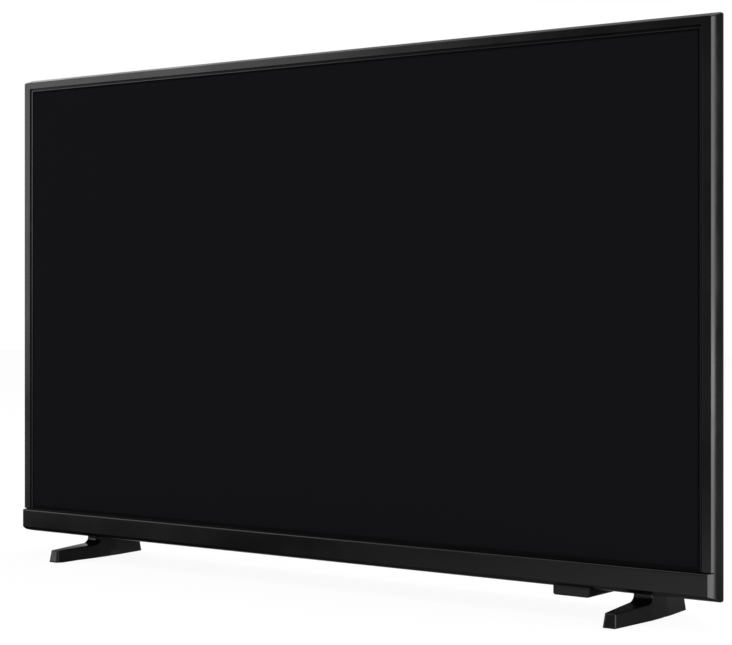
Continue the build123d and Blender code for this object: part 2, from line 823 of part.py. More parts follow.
with BuildPart() as rear_cover:
    add(cover_form(0))
    fillet(rear_cover.faces().sort_by(Axis.Y)[-1].edges(), hump_round)
    add(cover_cavity.part, mode=Mode.SUBTRACT)
    block((recess_outer, recess_inner), recess_depths, recess_heights, Mode.SUBTRACT)
    block((inlet_inner, inlet_outer), recess_depths, inlet_heights, Mode.SUBTRACT)
    window_depths = (recess_depth_start + window_margin / 2, recess_depth_start + window_depth)
    window_span = (recess_inner - overrun, plate_outer + overrun / 4)
    block(window_span, window_depths, grown((board_low, board_top), -window_margin), Mode.SUBTRACT)
    inlet_body_depths = (board_back, board_back + inlet_thickness)
    inlet_body_heights = grown((inlet_height, inlet_height), inlet_size / 2)
    inlet_window = (inlet_inner - recess_wall - overrun, inlet_inner + overrun)
    window_heights = grown(inlet_body_heights, slip_gap)
    block(inlet_window, grown(inlet_body_depths, slip_gap), window_heights, Mode.SUBTRACT)
    for place, height in cover_fixings:
        round_post(place, height, well_radius, (well_seat, hump_depth + overrun), Mode.SUBTRACT)
        web_depths = (tray_back - overrun, well_seat + overrun)
        round_post(place, height, screw_radius + slip_gap, web_depths, Mode.SUBTRACT)
    for place, height in mount_places:
        hole_depths = (hump_depth - cover_wall - overrun, hump_depth + overrun)
        round_post(place, height, pillar_nose_radius + slip_gap, hole_depths, Mode.SUBTRACT)
    for side in (-1, 1):
        for depth in leg_screw_depths:
            pilot_heights = (-overrun, leg_screw_bite + nest_gap)
            leg_place = side * leg_spread
            upright_post(leg_place, depth, leg_screw_radius + thread_gap, pilot_heights, Mode.SUBTRACT)
    screw_way = sensor_screw_radius + slip_gap
    for place in sensor_screw_places:
        wall_heights = (-overrun, cover_wall + overrun)
        upright_post(place, sensor_screw_depth, screw_way, wall_heights, Mode.SUBTRACT)
    upright_post(lead_hole_place, lead_hole_depth, lead_hole_radius, wall_heights, Mode.SUBTRACT)
    with BuildSketch(upright(hump_depth)):
        for height in middle_vent_heights:
            with Locations((0, high(height))):
                with GridLocations(vent_pitch, vent_pitch, middle_vent_count, 1):
                    SlotOverall(middle_vent_length, vent_width, rotation=90)
        with Locations((0, high(lower_vent_height))):
            with GridLocations(vent_pitch, vent_pitch, lower_vent_count, 1):
                SlotOverall(lower_vent_length, vent_width, rotation=90)
    extrude(amount=cover_wall + overrun, mode=Mode.SUBTRACT)
    with BuildSketch(upright(cover_depth)):
        with Locations((0, high(upper_vent_height))):
            with GridLocations(vent_pitch, vent_pitch, upper_vent_count, 1):
                SlotOverall(upper_vent_length, vent_width, rotation=90)
    extrude(amount=cover_wall + overrun, mode=Mode.SUBTRACT)
    with BuildSketch(Plane.XY.offset(high(0))):
        for side in (-1, 1):
            with Locations((side * speaker_place, deep(speaker_depth))):
                with GridLocations(grille_pitch, grille_pitch, grille_slots, 1):
                    SlotOverall(grille_slot_length, grille_slot_width, rotation=90)
    extrude(amount=cover_wall + overrun / 4, mode=Mode.SUBTRACT)
rear_cover.part.label = "rear_cover"
export_step(rear_cover.part, "parts/rear_cover.step")

# Wall mount pillars, from the tray to the cover's back, threaded at their noses
with BuildPart() as wall_mount_pillars:
    nose_end = hump_depth - pillar_nose_sink
    for place, height in mount_places:
        round_post(place, height, pillar_radius, (tray_back, hump_depth - cover_wall))
        round_post(place, height, pillar_nose_radius, (hump_depth - cover_wall, nose_end))
        thread_depths = (nose_end - mount_thread_depth, nose_end + overrun)
        round_post(place, height, mount_thread_radius, thread_depths, Mode.SUBTRACT)
wall_mount_pillars.part.label = "wall_mount_pillars"
export_step(wall_mount_pillars.part, "parts/wall_mount_pillars.step")

# Boards on their standoffs
main_holes = [
    (x, z)
    for x in (main_board_left + socket_room, main_board_right - board_hole_inset)
    for z in (board_low + board_hole_inset, board_top - board_hole_inset)
]
power_holes = [
    (x, z)
    for x in (power_board_left + board_hole_inset, power_board_right - socket_room)
    for z in (board_low + board_hole_inset, board_top - board_hole_inset)
]
with BuildPart() as board_standoffs:
    for place, height in main_holes + power_holes:
        round_post(place, height, standoff_radius, (tray_back, board_front))
        bore_depths = (board_front - board_screw_length - nest_gap, board_front + overrun)
        round_post(place, height, screw_radius + thread_gap, bore_depths, Mode.SUBTRACT)
board_standoffs.part.label = "board_standoffs"
export_step(board_standoffs.part, "parts/board_standoffs.step")

with BuildPart() as board_screws:
    for place, height in main_holes + power_holes:
        round_post(place, height, screw_head_radius, (board_back, board_back + screw_head_height))
        round_post(place, height, screw_radius, (board_front - board_screw_length, board_back))
board_screws.part.label = "board_screws"
export_step(board_screws.part, "parts/board_screws.step")


def drill(holes):
    """Open the fixing holes of a circuit board."""
    for place, height in holes:
        depths = (board_front - overrun, board_back + overrun)
        round_post(place, height, screw_radius + slip_gap, depths, Mode.SUBTRACT)


with BuildPart() as main_board:
    block((main_board_left, main_board_right), (board_front, board_back), (board_low, board_top))
    drill(main_holes)
main_board.part.label = "main_board"
export_step(main_board.part, "parts/main_board.step")

with BuildPart() as power_board:
    block((power_board_left, power_board_right), (board_front, board_back), (board_low, board_top))
    drill(power_holes)
power_board.part.label = "power_board"
export_step(power_board.part, "parts/power_board.step")

# Sockets in a column along the main board's edge, mouths flush with the terminal plate
socket_sizes = [antenna_size, network_size, video_size, video_size, data_size, optical_size]
socket_heights = []
column = board_low + socket_margin
for size in socket_sizes:
    socket_heights.append(column + size / 2)
    column += size + socket_gap
antenna_at, network_at, first_video_at, second_video_at, data_at, optical_at = socket_heights


def socket_body(height, size, thickness, length):
    """Add a socket's body on the main board, its mouth flush with the terminal plate."""
    body_span = (plate_outer, plate_outer + length)
    block(body_span, (board_back, board_back + thickness), grown((height, height), size / 2))


def socket_mouth(height, size, thickness, wall, depth):
    """Open a socket's mouth inside its wall."""
    mouth_span = (plate_outer - overrun, plate_outer + depth)
    mouth_depths = (board_back + wall, board_back + thickness - wall)
    block(mouth_span, mouth_depths, grown((height, height), size / 2 - wall), Mode.SUBTRACT)


def socket_tongue(height, size, thickness, wall, depth):
    """Add the contact tongue in the middle of a socket's mouth."""
    middle = board_back + thickness / 2
    tongue_span = (plate_outer + wall, plate_outer + depth)
    tongue_depths = grown((middle, middle), tongue_share * thickness / 2)
    block(tongue_span, tongue_depths, grown((height, height), size / 2 - 2 * wall))


with BuildPart() as antenna_socket:
    socket_body(antenna_at, antenna_size, antenna_thickness, antenna_length)
    barrel_depth = board_back + antenna_thickness / 2
    barrel_span = (plate_outer - barrel_length, plate_outer)
    cross_post(barrel_span, barrel_depth, antenna_at, barrel_radius)
    cross_post(barrel_span, barrel_depth, antenna_at, barrel_bore_radius, Mode.SUBTRACT)
antenna_socket.part.label = "antenna_socket"
export_step(antenna_socket.part, "parts/antenna_socket.step")

with BuildPart() as network_socket:
    socket_body(network_at, network_size, network_thickness, network_length)
    socket_mouth(network_at, network_size, network_thickness, network_wall, network_depth)
network_socket.part.label = "network_socket"
export_step(network_socket.part, "parts/network_socket.step")

with BuildPart() as video_sockets:
    for height in (first_video_at, second_video_at):
        socket_body(height, video_size, video_thickness, video_length)
        socket_mouth(height, video_size, video_thickness, socket_skin, video_depth)
        socket_tongue(height, video_size, video_thickness, socket_skin, video_depth)
video_sockets.part.label = "video_sockets"
export_step(video_sockets.part, "parts/video_sockets.step")

with BuildPart() as data_socket:
    socket_body(data_at, data_size, data_thickness, data_length)
    socket_mouth(data_at, data_size, data_thickness, socket_skin, data_depth)
    socket_tongue(data_at, data_size, data_thickness, socket_skin, data_depth)
data_socket.part.label = "data_socket"
export_step(data_socket.part, "parts/data_socket.step")

with BuildPart() as optical_socket:
    socket_body(optical_at, optical_size, optical_size, optical_length)
    socket_mouth(optical_at, optical_size, optical_size, 2 * socket_skin, shutter_sink)
optical_socket.part.label = "optical_socket"
export_step(optical_socket.part, "parts/optical_socket.step")

with BuildPart() as terminal_plate:
    plate_span = (plate_outer, plate_outer + terminal_plate_thickness)
    plate_depths = (board_front, window_depths[1] + window_margin)
    block(plate_span, plate_depths, (board_low, board_top))
    thicknesses = [
        antenna_thickness,
        network_thickness,
        video_thickness,
        video_thickness,
        data_thickness,
        optical_size,
    ]
    for height, size, thickness in zip(socket_heights, socket_sizes, thicknesses):
        cut_depths = (board_front - overrun, board_back + thickness + slip_gap)
        cut_heights = grown((height, height), size / 2 + slip_gap)
        block(grown(plate_span, overrun), cut_depths, cut_heights, Mode.SUBTRACT)
terminal_plate.part.label = "terminal_plate"
export_step(terminal_plate.part, "parts/terminal_plate.step")

# Chips, heat sinks and the power parts
with BuildPart() as main_board_chips:
    for across, up, width, tall, thickness in main_chips:
        chip_span = grown((main_board_left + across, main_board_left + across), width / 2)
        chip_heights = grown((board_low + up, board_low + up), tall / 2)
        block(chip_span, (board_back, board_back + thickness), chip_heights)
main_board_chips.part.label = "main_board_chips"
export_step(main_board_chips.part, "parts/main_board_chips.step")

with BuildPart() as processor_heat_sink:
    sink_place = main_board_left + processor[0]
    sink_front = board_back + processor[4]
    sink_span = grown((sink_place, sink_place), sink_width / 2)
    sink_heights = grown((board_low + processor[1], board_low + processor[1]), sink_width / 2)
    block(sink_span, (sink_front, sink_front + sink_base), sink_heights)
    fin_pitch = (sink_width - sink_fin_thickness) / (sink_fin_count - 1)
    for index in range(sink_fin_count):
        fin_left = sink_span[0] + index * fin_pitch
        fin_depths = (sink_front + sink_base, sink_front + sink_base + sink_fin_height)
        block((fin_left, fin_left + sink_fin_thickness), fin_depths, sink_heights)
processor_heat_sink.part.label = "processor_heat_sink"
export_step(processor_heat_sink.part, "parts/processor_heat_sink.step")

with BuildPart() as power_transformer:
    coil_place = power_board_left + transformer_place[0]
    coil_height = board_low + transformer_place[1]
    for width, tall, thickness in (transformer_core, transformer_coil):
        part_span = grown((coil_place, coil_place), width / 2)
        part_heights = grown((coil_height, coil_height), tall / 2)
        block(part_span, (board_back, board_back + thickness), part_heights)
power_transformer.part.label = "power_transformer"
export_step(power_transformer.part, "parts/power_transformer.step")

with BuildPart() as power_capacitors:
    for across, up, radius, tall in capacitors:
        capacitor_depths = (board_back, board_back + tall)
        round_post(power_board_left + across, board_low + up, radius, capacitor_depths)
power_capacitors.part.label = "power_capacitors"
export_step(power_capacitors.part, "parts/power_capacitors.step")

with BuildPart() as power_heat_sink:
    fin_left = power_board_left + fin_place
    plate_heights = (board_low + fin_heights[0], board_low + fin_heights[1])
    block((fin_left, fin_left + fin_thickness), (board_back, board_back + fin_depth), plate_heights)
    block((fin_left, fin_left + fin_foot), (board_back, board_back + fin_thickness), plate_heights)
power_heat_sink.part.label = "power_heat_sink"
export_step(power_heat_sink.part, "parts/power_heat_sink.step")

# Mains inlet, its mouth flush with the recess wall
pin_heights = (inlet_height - inlet_pin_spacing / 2, inlet_height + inlet_pin_spacing / 2)
inlet_middle = board_back + inlet_thickness / 2
cavity_floor = inlet_inner - inlet_cavity_depth
pin_span = (cavity_floor - inlet_pin_root, cavity_floor + inlet_pin_length)
with BuildPart() as mains_inlet:
    block((inlet_inner - inlet_length, inlet_inner), inlet_body_depths, inlet_body_heights)
    mouth_centre = (inlet_inner, deep(inlet_middle), high(inlet_height))
    with BuildSketch(Plane(origin=mouth_centre, x_dir=(0, 1, 0), z_dir=(1, 0, 0))):
        SlotOverall(inlet_cavity_width, inlet_cavity_height, rotation=90)
    extrude(amount=-inlet_cavity_depth, mode=Mode.SUBTRACT)
    for height in pin_heights:
        cross_post(pin_span, inlet_middle, height, inlet_pin_radius + thread_gap, Mode.SUBTRACT)
mains_inlet.part.label = "mains_inlet"
export_step(mains_inlet.part, "parts/mains_inlet.step")

with BuildPart() as inlet_pins:
    for height in pin_heights:
        cross_post(pin_span, inlet_middle, height, inlet_pin_radius)
inlet_pins.part.label = "inlet_pins"
export_step(inlet_pins.part, "parts/inlet_pins.step")

# Connectors on both boards
lead_line = board_back + lead_depth
left_lead_place = main_board_left + left_lead_inset
right_lead_place = main_board_left + right_lead_inset
sensor_lead_place = main_board_left + sensor_lead_inset
ribbon_place = main_board_left + ribbon_inset
connector_depths = (board_back, board_back + connector_thickness)
low_connector = (board_low + connector_inset, board_low + connector_inset + connector_height)
high_connector = (board_top - connector_inset - connector_height, board_top - connector_inset)
supply_middle = board_low + supply_place
supply_heights = grown((supply_middle, supply_middle), supply_connector_height / 2)
main_supply = (main_board_right - connector_inset - connector_width, main_board_right - connector_inset)
power_supply = (power_board_left + connector_inset, power_board_left + connector_inset + connector_width)
with BuildPart() as board_connectors:
    for place in (left_lead_place, right_lead_place, sensor_lead_place):
        block(grown((place, place), connector_width / 2), connector_depths, low_connector)
    ribbon_span = grown((ribbon_place, ribbon_place), ribbon_width / 2 + nest_gap)
    block(ribbon_span, connector_depths, low_connector)
    light_span = grown((light_lead_place, light_lead_place), connector_width / 2)
    block(light_span, connector_depths, high_connector)
    block(main_supply, connector_depths, supply_heights)
    block(power_supply, connector_depths, supply_heights)
board_connectors.part.label = "board_connectors"
export_step(board_connectors.part, "parts/board_connectors.step")

# Loudspeakers, one in each box, firing down through the grilles
box_low = cover_wall
box_top = box_low + speaker_box_height
flange_top = box_low + flange_seat
rim_top = flange_top + surround_thickness
roll_middle = surround_outer - surround_land - roll_radius
roll_outer = roll_radius + surround_thickness
cone_rim = roll_middle - roll_outer
neck_height = rim_top + cone_thickness + cone_height
magnet_low = flange_top + basket_height
magnet_high = magnet_low + magnet_height
coil_top = magnet_high - yoke_thickness
pole_radius = coil_radius - coil_wall - coil_gap
sides = (-1, 1)


def turned(place, points, mode=Mode.ADD):
    """Turn a profile of radii and heights round a loudspeaker's upright axis."""
    centre = (place, deep(speaker_depth), high(0))
    with BuildSketch(Plane(origin=centre, x_dir=(1, 0, 0), z_dir=(0, -1, 0))) as profile:
        with BuildLine():
            Polyline(*points, close=True)
        make_face()
    revolve(profile.sketch, axis=Axis(centre, (0, 0, 1)), mode=mode)


def speaker_cone(place):
    """Add a cone with its dust cap and coil former, mouth down."""
    former = coil_radius - coil_wall
    profile = [
        (cone_rim, rim_top),
        (cone_rim, rim_top + cone_thickness),
        (cone_rim - cone_thickness, rim_top + cone_thickness),
        (coil_radius, neck_height),
        (coil_radius, coil_top),
        (former, coil_top),
        (former, neck_height - cone_thickness),
        (0, neck_height - cone_thickness),
        (0, neck_height - 2 * cone_thickness),
        (former, neck_height - 2 * cone_thickness),
        (cone_rim - 2 * cone_thickness, rim_top),
    ]
    turned(place, profile)


def speaker_surround(place):
    """Add a surround: a half roll between two flat lands."""
    centre = (place, deep(speaker_depth), high(0))
    reach = math.sqrt(roll_outer**2 - surround_thickness**2)
    land_inner = surround_outer - surround_land - 2 * roll_radius - surround_lip
    with BuildSketch(Plane(origin=centre, x_dir=(1, 0, 0), z_dir=(0, -1, 0))) as profile:
        with BuildLine():
            Line((land_inner, flange_top), (roll_middle - roll_radius, flange_top))
            under = (roll_middle, flange_top + roll_radius)
            roll_end = (roll_middle + roll_radius, flange_top)
            ThreePointArc((roll_middle - roll_radius, flange_top), under, roll_end)
            Line(roll_end, (surround_outer, flange_top))
            Line((surround_outer, flange_top), (surround_outer, rim_top))
            Line((surround_outer, rim_top), (roll_middle + reach, rim_top))
            over = (roll_middle, flange_top + roll_outer)
            ThreePointArc((roll_middle + reach, rim_top), over, (roll_middle - reach, rim_top))
            Line((roll_middle - reach, rim_top), (land_inner, rim_top))
            Line((land_inner, rim_top), (land_inner, flange_top))
        make_face()
    revolve(profile.sketch, axis=Axis(centre, (0, 0, 1)))


with BuildPart() as speaker_boxes:
    for side in sides:
        place = side * speaker_place
        box_span = grown((place, place), speaker_box_width / 2)
        box_depths = (speaker_box_front, speaker_box_front + speaker_box_depth)
        block(box_span, box_depths, (box_low, box_top))
        room_span = grown(box_span, -speaker_wall)
        room_depths = grown(box_depths, -speaker_wall)
        block(room_span, room_depths, (box_low + speaker_floor, box_top - speaker_wall), Mode.SUBTRACT)
        seat_heights = (box_low - overrun, flange_top)
        upright_post(place, speaker_depth, flange_radius + slip_gap, seat_heights, Mode.SUBTRACT)
        floor_heights = (box_low - overrun, box_low + speaker_floor + overrun / 2)
        upright_post(place, speaker_depth, basket_radius + slip_gap, floor_heights, Mode.SUBTRACT)
speaker_boxes.part.label = "speaker_boxes"
export_step(speaker_boxes.part, "parts/speaker_boxes.step")

basket_shoulder = flange_top + basket_height / 3
with BuildPart() as speaker_frames:
    for side in sides:
        place = side * speaker_place
        flange_inner = surround_outer - surround_land
        frame_profile = [
            (flange_inner, flange_top - flange_thickness),
            (flange_radius, flange_top - flange_thickness),
            (flange_radius, flange_top),
            (basket_radius, flange_top),
            (basket_radius, basket_shoulder),
            (magnet_radius + basket_wall, magnet_low),
            (coil_radius + 2 * coil_gap, magnet_low),
            (coil_radius + 2 * coil_gap, magnet_low - basket_wall),
            (magnet_radius, magnet_low - basket_wall),
            (basket_radius - basket_wall, basket_shoulder - basket_wall),
            (basket_radius - basket_wall, flange_top),
            (flange_inner, flange_top),
        ]
        turned(place, frame_profile)
        window_heights = (basket_shoulder, magnet_low - 2 * basket_wall)
        across_box = (place - flange_radius, place + flange_radius)
        depth_box = grown((speaker_depth, speaker_depth), basket_window / 2)
        block(across_box, depth_box, window_heights, Mode.SUBTRACT)
        along_box = grown((speaker_depth, speaker_depth), flange_radius)
        block(grown((place, place), basket_window / 2), along_box, window_heights, Mode.SUBTRACT)
speaker_frames.part.label = "speaker_frames"
export_step(speaker_frames.part, "parts/speaker_frames.step")

with BuildPart() as speaker_magnets:
    for side in sides:
        magnet_profile = [
            (0, magnet_low),
            (pole_radius, magnet_low),
            (pole_radius, magnet_high),
            (coil_radius + coil_gap, magnet_high),
            (coil_radius + coil_gap, magnet_low),
            (magnet_radius, magnet_low),
            (magnet_radius, magnet_high + yoke_thickness),
            (0, magnet_high + yoke_thickness),
        ]
        turned(side * speaker_place, magnet_profile)
speaker_magnets.part.label = "speaker_magnets"
export_step(speaker_magnets.part, "parts/speaker_magnets.step")

with BuildPart() as left_cone:
    speaker_cone(-speaker_place)
left_cone.part.label = "left_cone"
export_step(left_cone.part, "parts/left_cone.step")

with BuildPart() as right_cone:
    speaker_cone(speaker_place)
right_cone.part.label = "right_cone"
export_step(right_cone.part, "parts/right_cone.step")

with BuildPart() as left_surround:
    speaker_surround(-speaker_place)
left_surround.part.label = "left_surround"
export_step(left_surround.part, "parts/left_surround.step")

with BuildPart() as right_surround:
    speaker_surround(speaker_place)
right_surround.part.label = "right_surround"
export_step(right_surround.part, "parts/right_surround.step")

with BuildPart() as cover_screws:
    for place, height in cover_fixings:
        head_depths = (well_seat, well_seat + cover_screw_head_height)
        round_post(place, height, cover_screw_head_radius, head_depths)
        round_post(place, height, cover_screw_radius, (tray_floor - cover_screw_tip, well_seat))
cover_screws.part.label = "cover_screws"
export_step(cover_screws.part, "parts/cover_screws.step")

# Sensor and button module, hung under the bezel and the rear cover
module_span = grown((module_place, module_place), module_width / 2)
module_room = grown(module_span, -module_wall)
module_low = -module_drop
module_deck = module_low + module_floor
sensor_board_top = -sensor_board_sink
sensor_board_low = sensor_board_top - sensor_board_thickness
screw_tip = cover_wall - sensor_screw_length
with BuildPart() as sensor_housing:
    with BuildSketch(side_view(module_place)):
        with BuildLine():
            Polyline(
                (deep(module_front), high(module_low)),
                (deep(module_front), high(underside(module_front) - slide_gap)),
                (deep(rail_depth), high(-slide_gap)),
                (deep(rail_depth), high(0)),
                (deep(module_rear), high(0)),
                (deep(module_rear), high(module_low)),
                close=True,
            )
        make_face()
    extrude(amount=module_width / 2, both=True)
    fillet(sensor_housing.edges().filter_by(Axis.Y).group_by(Axis.Z)[0], module_corner)
    room_front = module_front + module_front_wall
    room_heights = (module_deck, under_flare + overrun)
    block(module_room, (room_front, module_rear - module_wall), room_heights, Mode.SUBTRACT)
    for place in sensor_screw_places:
        boss_heights = (module_deck, sensor_board_low)
        upright_post(place, sensor_screw_depth, sensor_boss_radius, boss_heights)
        bore_heights = (screw_tip - slip_gap, sensor_board_low + overrun)
        pilot_radius = sensor_screw_radius + thread_gap
        upright_post(place, sensor_screw_depth, pilot_radius, bore_heights, Mode.SUBTRACT)
    window_span = grown(module_span, -module_window_frame)
    window_heights = (module_low + module_window_frame, module_window_top)
    pocket_depths = (module_front - overrun, module_front + module_window_thickness)
    block(window_span, pocket_depths, window_heights, Mode.SUBTRACT)
    light_span = grown(window_span, -module_window_frame)
    light_heights = grown(window_heights, -module_window_frame)
    block(light_span, (module_front, room_front + overrun), light_heights, Mode.SUBTRACT)
    with BuildSketch(Plane.XY.offset(high(module_low))):
        with Locations((module_place, deep(button_place))):
            SlotOverall(button_length + 2 * slide_gap, button_width + 2 * slide_gap, rotation=90)
    extrude(amount=module_floor, mode=Mode.SUBTRACT)
sensor_housing.part.label = "sensor_housing"
export_step(sensor_housing.part, "parts/sensor_housing.step")

with BuildPart() as sensor_window:
    plate_depths = (module_front, module_front + module_window_thickness)
    block(grown(window_span, -slide_gap), plate_depths, grown(window_heights, -slide_gap))
sensor_window.part.label = "sensor_window"
export_step(sensor_window.part, "parts/sensor_window.step")

with BuildPart() as sensor_board:
    sensor_board_depths = (room_front + slip_gap, module_rear - module_wall - slip_gap)
    sensor_board_heights = (sensor_board_low, sensor_board_top)
    block(grown(module_room, -slip_gap), sensor_board_depths, sensor_board_heights)
    for place in sensor_screw_places:
        hole_heights = grown(sensor_board_heights, overrun)
        upright_post(place, sensor_screw_depth, screw_way, hole_heights, Mode.SUBTRACT)
sensor_board.part.label = "sensor_board"
export_step(sensor_board.part, "parts/sensor_board.step")

with BuildPart() as infrared_receiver:
    receiver_front = sensor_board_depths[0] + receiver_setback
    receiver_depths = (receiver_front, receiver_front + receiver_length)
    receiver_heights = (sensor_board_low - receiver_height, sensor_board_low)
    block(grown((module_place, module_place), receiver_width / 2), receiver_depths, receiver_heights)
infrared_receiver.part.label = "infrared_receiver"
export_step(infrared_receiver.part, "parts/infrared_receiver.step")

with BuildPart() as button_switch:
    switch_heights = (sensor_board_low - switch_height, sensor_board_low)
    switch_depths = grown((button_place, button_place), switch_size / 2)
    block(grown((module_place, module_place), switch_size / 2), switch_depths, switch_heights)
    bore_heights = grown(switch_heights, overrun)
    upright_post(module_place, button_place, plunger_radius + slide_gap, bore_heights, Mode.SUBTRACT)
button_switch.part.label = "button_switch"
export_step(button_switch.part, "parts/button_switch.step")

post_top = switch_heights[0] - button_travel - slide_gap
with BuildPart() as button_plunger:
    upright_post(module_place, button_place, plunger_radius, (post_top, post_top + plunger_length))
button_plunger.part.label = "button_plunger"
export_step(button_plunger.part, "parts/button_plunger.step")

with BuildPart() as power_button:
    with BuildSketch(Plane.XY.offset(high(module_low - button_proud))):
        with Locations((module_place, deep(button_place))):
            SlotOverall(button_length, button_width, rotation=90)
    extrude(amount=button_proud + module_floor)
    fillet(power_button.faces().sort_by(Axis.Z)[0].edges(), button_round)
    with BuildSketch(Plane.XY.offset(high(module_deck))):
        with Locations((module_place, deep(button_place))):
            SlotOverall(button_length + 2 * button_rim, button_width + 2 * button_rim, rotation=90)
    extrude(amount=button_rim_thickness)
    upright_post(module_place, button_place, post_radius, (module_deck, post_top))
power_button.part.label = "power_button"
export_step(power_button.part, "parts/power_button.step")

with BuildPart() as sensor_screws:
    for place in sensor_screw_places:
        head_heights = (cover_wall, cover_wall + sensor_screw_head_height)
        upright_post(place, sensor_screw_depth, sensor_screw_head_radius, head_heights)
        upright_post(place, sensor_screw_depth, sensor_screw_radius, (screw_tip, cover_wall))
sensor_screws.part.label = "sensor_screws"
export_step(sensor_screws.part, "parts/sensor_screws.step")

# Legs: a tapering blade, cut down to a low toe and a neck that carries the cabinet
sole = pad_thickness - pad_sink
neck_y = deep(neck_front)
leg_stations = [
    (-leg_length / 2, leg_toe_half, leg_front_lean),
    (neck_y - leg_waist_lead, leg_waist_half, 0),
    (neck_y + leg_crest_back, leg_crest_half, 0),
    (leg_length / 2, leg_heel_half, -leg_rear_lean),
]


def leg_outline(height, lean):
    """Draw a leg's plan at a height, drawn in by a share of its lean."""
    edge = [(half - lean * leg_side_lean, y + lean * shift) for y, half, shift in leg_stations]
    mirrored = [(-half, y) for half, y in reversed(edge)]
    with BuildSketch(Plane.XY.offset(height)) as plan:
        with BuildLine():
            Polyline(*edge, *mirrored, close=True)
        make_face()
        fillet(plan.vertices().sort_by(Axis.Y)[2:6], leg_side_round)
        fillet(plan.vertices().sort_by(Axis.Y)[:2], leg_front_corner)
        fillet(plan.vertices().sort_by(Axis.Y)[-2:], leg_rear_corner)
    return plan.sketch


def leg_envelope():
    """Make the room that a leg fills: toe, neck and the hollow blend between them."""
    half_room = leg_crest_half + overrun
    front_room = -leg_length / 2 - overrun
    rear_room = leg_length / 2 + overrun
    flat_half = neck_width / 2 - neck_corner
    corner_y = neck_y + neck_corner
    toe_slope = (toe_neck_height - toe_height) / (neck_y + leg_length / 2)
    blend_foot = toe_neck_height - toe_slope * neck_blend
    bow = neck_blend * (1 - math.sqrt(2) / 2)
    with BuildPart() as neck:
        with BuildSketch():
            with Locations((0, (neck_y + rear_room) / 2)):
                RectangleRounded(neck_width, rear_room - neck_y, neck_corner)
        extrude(amount=leg_height)
        with BuildSketch(side_view(0)):
            with BuildLine():
                Polyline(
                    (neck_y, 0),
                    (neck_y, leg_height),
                    (deep(neck_rear), leg_height),
                    (leg_length / 2 - heel_inset, heel_height),
                    (rear_room, heel_height),
                    (rear_room, 0),
                    close=True,
                )
            make_face()
        extrude(amount=half_room, both=True, mode=Mode.INTERSECT)
    with BuildPart() as room:
        add(neck.part)
        with BuildSketch(side_view(0)):
            with BuildLine():
                Polyline(
                    (front_room, 0),
                    (front_room, toe_height),
                    (-leg_length / 2, toe_height),
                    (neck_y, toe_neck_height),
                    (corner_y, toe_neck_height),
                    (corner_y, 0),
                    close=True,
                )
            make_face()
        extrude(amount=half_room, both=True)
        for side in sides:
            with BuildSketch(side_view(side * flat_half)) as blend:
                with BuildLine():
                    blend_top = (neck_y, blend_foot + neck_blend)
                    blend_end = (neck_y - neck_blend, blend_foot)
                    Line(blend_top, (neck_y, 0))
                    Line((neck_y, 0), (neck_y - neck_blend, 0))
                    Line((neck_y - neck_blend, 0), blend_end)
                    ThreePointArc(blend_end, (neck_y - bow, blend_foot + bow), blend_top)
                make_face()
            revolve(axis=Axis((side * flat_half, corner_y, 0), (0, 0, 1)))
            extrude(blend.sketch, amount=-side * 2 * flat_half)
    return room.part


def leg_form():
    """Make one leg, centred across, with its screw holes and pad pockets."""
    with BuildPart() as leg:
        loft([leg_outline(sole, 0), leg_outline(leg_height, 1)], ruled=True)
        add(leg_envelope(), mode=Mode.INTERSECT)
        for depth in leg_screw_depths:
            with Locations((0, deep(depth), leg_height / 2)):
                Cylinder(leg_screw_radius + slip_gap, leg_height + overrun, mode=Mode.SUBTRACT)
            with Locations((0, deep(depth), leg_screw_seat / 2)):
                Cylinder(leg_counterbore_radius, leg_screw_seat, mode=Mode.SUBTRACT)
        with BuildSketch():
            for y in pad_places:
                with Locations((0, y)):
                    SlotOverall(pad_length + 2 * slide_gap, pad_width + 2 * slide_gap, rotation=90)
        extrude(amount=pad_thickness, mode=Mode.SUBTRACT)
    return leg.part


pad_places = (pad_front_inset - leg_length / 2, leg_length / 2 - pad_rear_inset)
with BuildPart() as left_leg:
    with Locations((-leg_spread, 0, 0)):
        add(leg_form())
left_leg.part.label = "left_leg"
export_step(left_leg.part, "parts/left_leg.step")

with BuildPart() as right_leg:
    with Locations((leg_spread, 0, 0)):
        add(leg_form())
right_leg.part.label = "right_leg"
export_step(right_leg.part, "parts/right_leg.step")

with BuildPart() as foot_pads:
    with BuildSketch():
        for side in sides:
            for y in pad_places:
                with Locations((side * leg_spread, y)):
                    SlotOverall(pad_length, pad_width, rotation=90)
    extrude(amount=pad_thickness)
foot_pads.part.label = "foot_pads"
export_step(foot_pads.part, "parts/foot_pads.step")

seat = leg_screw_seat - leg_height
with BuildPart() as leg_screws:
    for side in sides:
        for depth in leg_screw_depths:
            place = side * leg_spread
            upright_post(place, depth, leg_screw_head_radius, (seat - leg_screw_head_height, seat))
            upright_post(place, depth, leg_screw_radius, (seat, leg_screw_bite))
leg_screws.part.label = "leg_screws"
export_step(leg_screws.part, "parts/leg_screws.step")


# Leads and the flat ribbon to the panel
def lead(points):
    """Run a round lead with bent corners through points across, behind the face and up."""
    corners = [(place, deep(depth), high(height)) for place, depth, height in points]
    with BuildLine() as route:
        FilletPolyline(*corners, radius=lead_bend)
    path = route.wire()
    with BuildSketch(Plane(origin=path @ 0, z_dir=path % 0)) as section:
        Circle(lead_radius)
    sweep(section.sketch, path=path)


